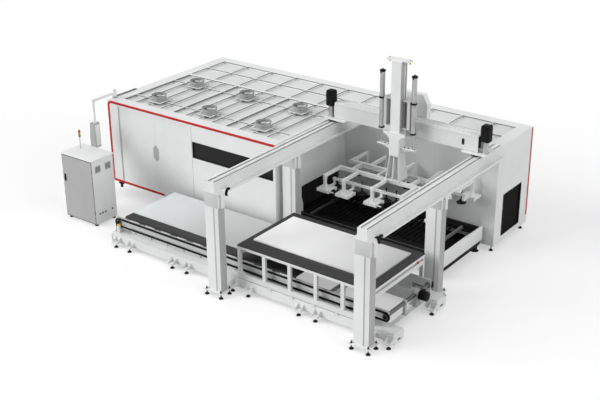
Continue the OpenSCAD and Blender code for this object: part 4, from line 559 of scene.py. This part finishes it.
def cabin_details():
    bm = bmesh.new()
    picture_frame(bm, (2752, -5, 1652), (5138, 0, 2058), 18, 0, 2, 2)
    picture_frame(bm, (2770, -4, 1670), (5120, 13, 2040), 9, 0, 2, 1)
    piece("window_seal", bm, black_rubber, "frame")

    bm = bmesh.new()
    block(bm, (150, 30, 330), (290, 90, 410), 6)
    block(bm, (190, 40, 240), (250, 80, 335), 6)
    piece("corner_bracket", bm, black_coat, "frame")

    for name, body, side in (("left", "left_door", -1), ("right", "right_door", 1)):
        bm = bmesh.new()
        half_grip(bm, side, 29.5, 31.8, 3)
        half_grip(bm, side, 28, 30.5, 26)
        piece("grip_liner_" + name, bm, grey_coat, body)

    bm = bmesh.new()
    for x in (354, 2731):
        block(bm, (x, -1.5, 481), (x + 6, 0.5, 2413))
    piece("door_edge_seals", bm, seam_rubber_and_shade, "frame")

    # Lamella curtain behind the pallet port
    bm = bmesh.new()
    for k in range(12):
        x = 5138 if k % 2 else 5144
        block(bm, (x, PORT_FRONT + 125 * k, 640), (x + 5, PORT_FRONT + 125 * k + 134, 1200), 2, 1)
    block(bm, (5134, 958, 1196), (5154, PORT_BACK, 1209), 3)
    piece("port_curtain", bm, black_rubber, "frame")

    # Drip mat under the pallet's way through the port, with a raised right edge
    bm = bmesh.new()
    block(bm, (4700, PORT_FRONT, 466), (5194, PORT_BACK, 474), 2, 1)
    block(bm, (5186, PORT_FRONT, 430), (5194, PORT_BACK, 484), 2, 1)
    piece("port_drip_mat", bm, black_rubber, "frame")

    # Scrap tray on the cross members of the machine bed, with a tall left end, seen when the doors are open
    bm = bmesh.new()
    block(bm, (96, TRAY_FRONT, 300.5), (5032, TRAY_BACK, 304.5), 1, 1)
    picture_frame(bm, (96, TRAY_FRONT, 302), (5032, TRAY_BACK, 380), 6, 0, 1, 2)
    block(bm, (88, TRAY_FRONT, 300.5), (96, TRAY_BACK, 490), 1, 1)
    piece("bed_scrap_tray", bm, slat_steel, "frame")

    bm = bmesh.new()
    for y in (3043, 3477, 3912):
        for z in (300, 620, 975, 1294):
            if y != 3477 or z in (300, 1294):
                bolt_head(bm, (9250, y, z), X_AXIS, 10, 6)
    piece("louver_screws", bm, tool_steel, "frame")


def roof_fields():
    """Every sunk field of the two roofs: its two corners, and whether a main rib bounds it on the left."""
    for bay in range(3):
        for part in range(4):
            left = 280 + 1620 * bay + 405 * part + (30 if part == 0 else 13)
            right = 280 + 1620 * bay + 405 * (part + 1) - (30 if part == 3 else 13)
            for front, back in ((280, 687.2), (713.2, 2066.2), (2092.2, 2635)):
                yield left, right, front, back, part == 0
    for bay in range(11):
        for front in (2725, 3397.5):
            yield 297 + 810 * bay, 1073 + 810 * bay, front, front + 638.5, False


def roof_details():
    # Grey strips on the field walls under the ribs' right and front edges: painted shade, deep and wide ones beside the
    # main ribs
    bm = bmesh.new()
    for left, right, front, back, main in roof_fields():
        width, depth = (11, 36) if main else (6, 20)
        block(bm, (left, front + 4, ROOF_TOP - depth), (left + width, back - 4, ROOF_TOP - 0.5))
        block(bm, (left + 11, back - 4, ROOF_TOP - 20), (right, back, ROOF_TOP - 0.5))
    piece("roof_rib_shade_strips", bm, seam_rubber_and_shade, "frame")

    # Thin panels on the floors of the sunk fields, in the darker white: painted shade of the recesses
    bm = bmesh.new()
    for left, right, front, back, main in roof_fields():
        block(bm, (left + 5, front + 5, ROOF_TOP - 56), (right - 5, back - 5, ROOF_TOP - 51), 2, 1)
    piece("roof_field_shade_panels", bm, shaded_white_coat, "frame")

    # Frames under the fans, in the same darker white as the fields' painted shade
    bm = bmesh.new()
    for x, y in FAN_PLACES:
        picture_frame(bm, (x - 223, y - 223, 2546), (x + 223, y + 223, FAN_BASE_TOP), 38, 0, 1, 1)
    piece("fan_base_frames", bm, shaded_white_coat, "frame")

    bm = bmesh.new()
    for x, y in FAN_PLACES:
        ring(bm, (x, y, 2680), Z_AXIS, 178, 6, steps=40)
        ring(bm, (x, y, 2606), Z_AXIS, 176, 3, steps=40)
    piece("fan_rims", bm, slate_coat, "frame")

    bm = bmesh.new()
    for x, y in FAN_PLACES:
        for dx in (-195, 195):
            for dy in (-195, 195):
                bolt_head(bm, (x + dx, y + dy, FAN_BASE_TOP), Z_AXIS, 12, 8)
    piece("fan_screws", bm, tool_steel, "frame")


# Exchange table

PAN_LEFT, PAN_RIGHT, PAN_FRONT, PAN_BACK = 5215, 8975, 896, 2592


def table_details():
    bm = bmesh.new()
    block(bm, (PAN_LEFT, PAN_FRONT, 188), (PAN_RIGHT, PAN_BACK, 192), 1, 1)
    picture_frame(bm, (PAN_LEFT, PAN_FRONT, 190), (PAN_RIGHT, PAN_BACK, 300), 6, 0, 1, 2)
    piece("scrap_pan_liner", bm, slat_steel, "frame")

    bm = bmesh.new()
    block(bm, (8976, 881, 306), (9014, 2604, 646), 5)
    block(bm, (8955, 900, 612), (8978, 2030, 640), 4)
    piece("table_side_cover", bm, white_coat, "frame")

    bm = bmesh.new()
    block(bm, (5202, 881, 594), (8974, 886, 604), 1.5)
    piece("table_front_strip", bm, slate_coat, "frame")

    bm = bmesh.new()
    block(bm, (8588, 1034, 520), (8600, 2450, 588), 3)
    block(bm, (8560, 1034, 584), (8600, 2450, 592), 2)
    piece("pallet_end_strip", bm, slate_coat, "pallet")


# Loading gantry

BEAM_XS = (5490, 9162)
COLUMN_PLACES = [(x, y) for x in BEAM_XS for y in (-2360, 210)]
COLUMN_FOOT, COLUMN_NECK = 132, 2036


def gantry_details():
    bm = bmesh.new()
    for x, y in COLUMN_PLACES:
        for dx in (-193, 193):
            for dy in (-136, 136):
                bolt_head(bm, (x + dx, y + dy, 130), Z_AXIS, 22, 18)
                turned(bm, (x + dx, y + dy, 146), Z_AXIS, [(12, 0), (12, 34), (10, 37), (0, 37)], 10)
    piece("column_nuts", bm, black_rubber, "frame")

    bm = bmesh.new()
    for x, y in COLUMN_PLACES:
        block(bm, (x - 176, y - 106, 2040), (x + 176, y - 102, 2352), 1.5)
        for dx in (-203, 203):
            for z in (2090, 2300):
                bolt_head(bm, (x + dx, y - 45, z), -Y_AXIS, 13, 9)
    piece("column_head_plates", bm, pale_coat_and_shade, "frame")

    # Grey strip down the front of each column, painted shade of its grooves, and a grey skin on its right side, painted
    # shade of that side
    bm = bmesh.new()
    for x, y in COLUMN_PLACES:
        block(bm, (x + 44, y - 104, COLUMN_FOOT), (x + 80, y - 101, COLUMN_NECK), 1, 1)
        block(bm, (x + 174, y - 98, COLUMN_FOOT), (x + 177, y + 98, COLUMN_NECK), 1, 1)
    piece("column_shade_skins", bm, grey_coat, "frame")

    # Ends of the flat cable chains, bent down at the front of the trays
    bm = bmesh.new()
    for x in BEAM_XS:
        middle = x + 185
        for k in range(8):
            angle = math.radians(88 + 16 * k)
            leaning_block(bm, (middle, -2110 + 90 * math.cos(angle), 2286 + 90 * math.sin(angle)),
                          (56, 26, 34), Matrix.Rotation(angle - math.pi / 2, 3, "X"), 3, 1)
    piece("cable_chain_ends", bm, black_rubber, "frame")

    # Dark strips beside the rails: painted shadow at the rails' feet
    bm = bmesh.new()
    for x in BEAM_XS:
        for dx in (-96, -50, 38, 84):
            block(bm, (x + dx, -2470, 2596), (x + dx + 12, 2690, 2602), 2, 1)
    piece("rail_shadow_strips", bm, slate_coat, "frame")


# Bridge and mast

MOTOR_XS, MOTOR_Y = (5350, 9302), 1921
CYLINDER_XS, CYLINDER_Y = (6926, 7726), 1590
MAST_MIDDLE = 7326


def bridge_details():
    bm = bmesh.new()
    for x in BEAM_XS:
        for dx in (-67, 67):
            for y in (1740, 2130):
                block(bm, (x + dx - 37, y - 4, 2629), (x + dx + 37, y + 114, 2652.5), 4)
    piece("guide_block_covers", bm, black_coat, "bridge")

    bm = bmesh.new()
    for x in MOTOR_XS:
        block(bm, (x - 82, MOTOR_Y - 82, 3279), (x + 82, MOTOR_Y + 82, 3300), 9)
        for k in range(7):
            z = 2975 + 40 * k
            block(bm, (x - 98, MOTOR_Y - 98, z), (x + 98, MOTOR_Y + 98, z + 16), 6)
        turned(bm, (x, MOTOR_Y - 94, 3240), -Y_AXIS, [(20, 0), (20, 24), (15, 28), (15, 52), (0, 52)], 12)
    piece("motor_ribs", bm, black_coat, "bridge")

    # Black plates just inside the bridge's open ends: painted shade of its hollow inside
    bm = bmesh.new()
    for x in (5570, 9074):
        block(bm, (x, 1856, 2688), (x + 8, 2124, 3020), 2)
    piece("bridge_end_shade_plates", bm, black_coat, "bridge")

    # Rubber lining of the cable slot near the bridge's right end
    bm = bmesh.new()
    slot_x, slot_z = BEAM_XS[1] - 353, 2853.6
    block(bm, (slot_x - 30, 1834, slot_z - 62), (slot_x - 20, 1841, slot_z + 62), 3)
    block(bm, (slot_x + 20, 1834, slot_z - 62), (slot_x + 30, 1841, slot_z + 62), 3)
    for side in (-1, 1):
        block(bm, (slot_x - 24, 1834, slot_z + 62 * side - 8), (slot_x + 24, 1841, slot_z + 62 * side + 8), 3)
    block(bm, (slot_x - 26, 1843, slot_z - 60), (slot_x + 26, 1847, slot_z + 60), 1)
    piece("bridge_slot_lining", bm, black_rubber, "bridge")

    # Folded lips along the top and bottom of the bridge, in pale grey: painted shade of the folds
    bm = bmesh.new()
    for low, high in ((2676, 2690), (2990, 2998)):
        block(bm, (5492, 1836, low), (6990, 1840, high), 1)
        block(bm, (7662, 1836, low), (9160, 1840, high), 1)
    piece("bridge_lips", bm, pale_coat_and_shade, "bridge")

    # Guide strips in the pockets of the mast carriage
    bm = bmesh.new()
    for x in (7066, 7458):
        block(bm, (x, 1690, 2955), (x + 128, 1699, 3545), 2)
        for k in range(14):
            block(bm, (x + 34, 1680, 2975 + 40 * k), (x + 94, 1691, 2997 + 40 * k), 3)
    piece("carriage_guide_strips", bm, grey_coat, "bridge")

    bm = bmesh.new()
    for x in CYLINDER_XS:
        for z in (2850, 4128):
            for k in range(4):
                angle = math.radians(45 + 90 * k)
                bolt_head(bm, (x + 66 * math.cos(angle), CYLINDER_Y + 66 * math.sin(angle), z), Z_AXIS, 7, 12)
        turned(bm, (x, CYLINDER_Y, 4150), Z_AXIS, [(30, 0), (30, 10), (14, 14), (14, 34), (0, 34)], 16)
        turned(bm, (x, CYLINDER_Y - 64, 4100), -Y_AXIS, [(14, 0), (14, 18), (9, 20), (9, 30), (0, 30)], 12)
    piece("cylinder_fittings", bm, black_coat, "bridge")

    bm = bmesh.new()
    for x in (6960, 7692):
        for z in (2990, 3150, 3310):
            bolt_head(bm, (x, 2290, z), Y_AXIS, 10, 7)
    piece("cover_screws", bm, tool_steel, "bridge")


def mast_details():
    # Grey strips on both sides of the mast: painted shade along its edges
    bm = bmesh.new()
    block(bm, (7442, 1500, 2842), (7447, 1632, 4410), 1)
    block(bm, (7205, 1500, 2842), (7210, 1632, 4410), 1)
    piece("mast_edge_shade_strips", bm, grey_coat, "mast")

    # Rack on the right side of the mast
    bm = bmesh.new()
    block(bm, (7440, 1684, 2850), (7448, 1704, 4400), 1)
    for k in range(48):
        block(bm, (7446, 1685, 2858 + 32 * k), (7453, 1703, 2872 + 32 * k), 2, 1)
    piece("mast_rack", bm, slate_coat, "mast")

    bm = bmesh.new()
    for side in (-1, 1):
        for reach in (200, 300, 455):
            bolt_head(bm, (MAST_MIDDLE + side * reach, CYLINDER_Y, 2498), Z_AXIS, 15, 14)
    for side in (-1, 1):
        bolt_head(bm, (MAST_MIDDLE + side * 250, 1620, 4456), Z_AXIS, 13, 10)
    for side in (-1, 1):
        for y in (1470, 1770):
            bolt_head(bm, (MAST_MIDDLE + side * 120, y, 1744), Z_AXIS, 15, 14)
    piece("mast_bolts", bm, black_coat, "mast")


# Suction frame

ARM_XS = (5919.5, 6427, 7181, 7935, 8732.5)
ROLLER_XS = [ARM_XS[k] + 262 for k in (0, 2, 3)]
CUP_XS = (5977.5, 6659, 7297, 7558, 8007.5, 8674.5)
FRAME_MIDDLE, ROLLER_REACH, ROLLER_Z = 1715, 878, 1358
PLATE_TOP = 1375


def suction_details():
    bm = bmesh.new()
    for x in CUP_XS:
        for side in (-1, 1):
            y = FRAME_MIDDLE + 445 * side
            turned(bm, (x, y, 1504), Z_AXIS, [(11, 0), (11, 62), (24, 66), (24, 84), (15, 94), (0, 95)], 14)
            turned(bm, (x, y, 1326), Z_AXIS, [(20.5, 0), (58, 0), (62, 6), (58, 12), (40, 16), (40, 30), (20.5, 30)],
                   20, closed=True)
    piece("cup_springs", bm, black_rubber, "mast")

    bm = bmesh.new()
    for x in ROLLER_XS:
        for side in (-1, 1):
            turned(bm, (x, FRAME_MIDDLE + ROLLER_REACH * side, ROLLER_Z), Y_AXIS,
                   [(16, -24), (58, -24), (64, -18), (64, 18), (58, 24), (16, 24)], 24, closed=True)
    piece("side_rollers", bm, black_rubber, "mast")

    bm = bmesh.new()
    for x in ROLLER_XS:
        for side in (-1, 1):
            y = FRAME_MIDDLE + ROLLER_REACH * side
            turned(bm, (x, y, ROLLER_Z), Y_AXIS, [(0, -34), (12, -34), (15, -30), (15, 30), (12, 34), (0, 34)], 16)
            for edge in (-33, 25):
                block(bm, (x - 94, y + edge, 1340), (x + 18, y + edge + 8, 1374), 3)
    piece("roller_forks", bm, white_coat, "mast")

    bm = bmesh.new()
    for x in ARM_XS:
        for side in (-1, 1):
            for dx in (-140, -52, 52, 140):
                for out in (644, 898):
                    bolt_head(bm, (x + dx, FRAME_MIDDLE + side * out, PLATE_TOP), Z_AXIS, 12, 9)
    piece("plate_bolts", bm, tool_steel, "mast")

    # Sockets where the legs meet their arms and plates
    bm = bmesh.new()
    for x in ARM_XS:
        for side in (-1, 1):
            y = FRAME_MIDDLE + 835 * side
            block(bm, (x - 44, y - 44, PLATE_TOP), (x + 44, y + 44, PLATE_TOP + 12), 3)
            block(bm, (x - 36, y - 36, 1600), (x + 36, y + 36, 1726), 6)
    piece("arm_sockets", bm, white_coat, "mast")


# Material cart

def cart_details():
    bm = bmesh.new()
    for k in range(6):
        x = 5756 + (k + 0.5) * 557.83
        for dx in (-28, 28):
            for place, axis in (((x + dx, -2019, 326), -Y_AXIS), ((x + dx, -63, 326), Y_AXIS)):
                bolt_head(bm, place, axis, 11, 8)
    piece("clip_bolts", bm, tool_steel, "cart")

    # Corner plates where the posts meet the rails
    bm = bmesh.new()
    for k in range(6):
        x = 5796 + 653.4 * k
        for y in (-2014, -71):
            for z in (438, 966):
                block(bm, (x - 38, y, z), (x + 38, y + 3, z + 38), 1, 1)
    piece("post_plates", bm, white_coat, "cart")

    # Triangular plates in the lower corners of the first and last bays
    bm = bmesh.new()
    for middle in (-1991, -91):
        for x, reach in ((5833, 110), (9026, -110)):
            corners = ((x, 437), (x + reach, 437), (x, 547))
            verts = [bm.verts.new(spot(cx, y, cz)) for y in (middle - 5, middle + 5) for cx, cz in corners]
            bmesh.ops.convex_hull(bm, input=verts)
    piece("corner_gussets", bm, white_coat, "cart")

    bm = bmesh.new()
    turned(bm, (9103, -355, 1000), X_AXIS, [(22, 0), (22, 8), (30, 10), (30, 20), (20, 27), (0, 28)], 20)
    piece("cart_stop_knob", bm, red_enamel, "cart")


# Chain conveyor and low pallet

CHAIN_XS, CHAIN_Z, CHAIN_RADIUS = (2082, 9318), 518, 84
TRACK_BOLT_XS = [2600 + 490 * k for k in range(14)]
GEARMOTOR_Y, VALVE_Y = -705, -1921
BRACKET_XS = [2470 + 475.56 * k for k in range(10)]


def conveyor_details():
    # Side plates of the chain links, one row on the outer face of each chain
    bm = bmesh.new()
    for y in (-1878.5, -207):
        for level in (CHAIN_Z + CHAIN_RADIUS, CHAIN_Z - CHAIN_RADIUS):
            for k in range(119):
                x = 2112 + 61 * k
                block(bm, (x - 22, y, level - 12), (x + 22, y + 3.5, level + 12))
        for end, turn in ((0, math.pi / 2), (1, -math.pi / 2)):
            for k in range(5):
                angle = turn + math.pi * (k + 0.5) / 5
                leaning_block(bm, (CHAIN_XS[end] + CHAIN_RADIUS * math.cos(angle), y + 1.75,
                                   CHAIN_Z + CHAIN_RADIUS * math.sin(angle)), (24, 3.5, 44),
                              Matrix.Rotation(-angle, 3, "Y"))
    piece("chain_link_plates", bm, chain_steel, "frame")

    bm = bmesh.new()
    for x in TRACK_BOLT_XS:
        bolt_head(bm, (x, -1841, 364), -Y_AXIS, 17, 12)
        bolt_head(bm, (x, -241, 364), Y_AXIS, 17, 12)
    piece("track_bolts", bm, slate_coat, "frame")

    bm = bmesh.new()
    flange = [(31, 0), (66, 0), (66, 12), (46, 17), (46, 34), (31, 34)]
    for x in CHAIN_XS:
        turned(bm, (x, -1811, CHAIN_Z), Y_AXIS, flange, 24, closed=True)
        turned(bm, (x, -271, CHAIN_Z), -Y_AXIS, flange, 24, closed=True)
        for y, axis in ((-1799, Y_AXIS), (-283, -Y_AXIS)):
            for k in range(4):
                angle = math.radians(45 + 90 * k)
                bolt_head(bm, (x + 56 * math.cos(angle), y, CHAIN_Z + 56 * math.sin(angle)), axis, 7, 6)
    piece("shaft_bearings", bm, slate_coat, "frame")

    for body, x in (("idler_shaft", CHAIN_XS[0]), ("drive_shaft", CHAIN_XS[1])):
        bm = bmesh.new()
        for y, axis in ((-1889, -Y_AXIS), (-193, Y_AXIS)):
            turned(bm, (x, y, CHAIN_Z), axis, [(38, -8), (38, 4), (30, 9), (0, 9)], 24)
            bolt_head(bm, (x, y + 8.5 * axis.y, CHAIN_Z), axis, 11, 8)
        piece(body + "_caps", bm, chain_steel, body)

    # Sleeves on the drive shaft, and a bearing block between them
    bm = bmesh.new()
    for low, high in ((-1770, -1190), (-1110, -800), (-610, -312)):
        reach = high - low
        turned(bm, (CHAIN_XS[1], low, CHAIN_Z), Y_AXIS,
               [(30.5, 0), (42, 3), (42, reach - 3), (30.5, reach)], 24, closed=True)
    piece("shaft_sleeves", bm, shaft_steel, "drive_shaft")

    bm = bmesh.new()
    block(bm, (9274, -1182, 474), (9362, -1118, 566), 10)
    block(bm, (9288, -1176, 240), (9348, -1124, 480), 4)
    block(bm, (9264, -1190, 240), (9372, -1110, 254), 3)
    piece("bearing_block", bm, grey_coat, "frame")

    # Geared motor on the drive shaft
    bm = bmesh.new()
    for k in range(9):
        turned(bm, (9402 + 13 * k, GEARMOTOR_Y, CHAIN_Z), X_AXIS,
               [(77, 0), (102, 1), (102, 6), (77, 7)], 32, closed=True)
    block(bm, (9420, GEARMOTOR_Y - 47, 590), (9500, GEARMOTOR_Y + 47, 648), 8)
    turned(bm, (9569, GEARMOTOR_Y, CHAIN_Z), X_AXIS, [(80, -46), (100, -44), (100, 2), (86, 8), (0, 8)], 32)
    piece("motor_shell", bm, black_coat, "frame")

    bm = bmesh.new()
    front, back = GEARMOTOR_Y - 68, GEARMOTOR_Y + 68
    block(bm, (9240, front, 435), (9396, back, 601), 12)
    block(bm, (9268, front, 242), (9368, back, 440), 6)
    for y, axis in ((front, -Y_AXIS), (back, Y_AXIS)):
        turned(bm, (CHAIN_XS[1], y, CHAIN_Z), axis, [(31, -2), (60, -2), (60, 10), (44, 15), (31, 15)], 24, closed=True)
    piece("gearbox_shell", bm, grey_coat, "frame")

    # Black plates standing for slots in the base: painted shade of the openings
    bm = bmesh.new()
    for y in (-1846, -236):
        block(bm, (9630, y - 48, 120), (9635, y + 48, 152), 2)
    block(bm, (2030, -1906, 300), (2062, -1882, 476), 4)
    piece("base_slot_shade_plates", bm, black_coat, "frame")

    bm = bmesh.new()
    block(bm, (2092, -1946, 300), (2168, -1896, 462), 6)
    block(bm, (2080, -1946, 300), (2180, -1890, 312), 3)
    piece("valve_post", bm, white_coat, "frame")

    bm = bmesh.new()
    turned(bm, (2112, VALVE_Y, 484), X_AXIS,
           [(0, 0), (20, 0), (20, 18), (14, 20), (14, 70), (20, 72), (20, 92), (0, 92)], 16)
    turned(bm, (2158, VALVE_Y, 490), Z_AXIS, [(13, 0), (13, 26), (7, 28), (7, 44), (0, 44)], 12)
    turned(bm, (2130, VALVE_Y, 460), Z_AXIS, [(14, 0), (14, 22), (0, 22)], 12)
    block(bm, (2150, VALVE_Y - 4, 530), (2226, VALVE_Y + 4, 537), 2)
    piece("brass_valve", bm, brass, "frame")


def low_pallet_details():
    bm = bmesh.new()
    for x in BRACKET_XS:
        for low, high in ((-1859, -1842), (-240, -223)):
            block(bm, (x, low, 647), (x + 270, high, 705), 3)
    piece("pallet_brackets", bm, white_coat, "low_pallet")

    # Film-faced bands on the front and back edges of the board
    bm = bmesh.new()
    for low, high in ((-1865, -1859.5), (-222.5, -217)):
        block(bm, (2322, low, 678), (7168, high, 728), 2, 1)
    piece("board_edge_bands", bm, board_film, "low_pallet")

    bm = bmesh.new()
    for x in BRACKET_XS:
        for dx in (50, 220):
            bolt_head(bm, (x + dx, -1859, 664), -Y_AXIS, 10, 5)
            bolt_head(bm, (x + dx, -223, 664), Y_AXIS, 10, 5)
    piece("bracket_bolts", bm, tool_steel, "low_pallet")


cabinet_details()
operator_details()
cabin_details()
roof_details()
table_details()
gantry_details()
bridge_details()
mast_details()
suction_details()
cart_details()
conveyor_details()
low_pallet_details()
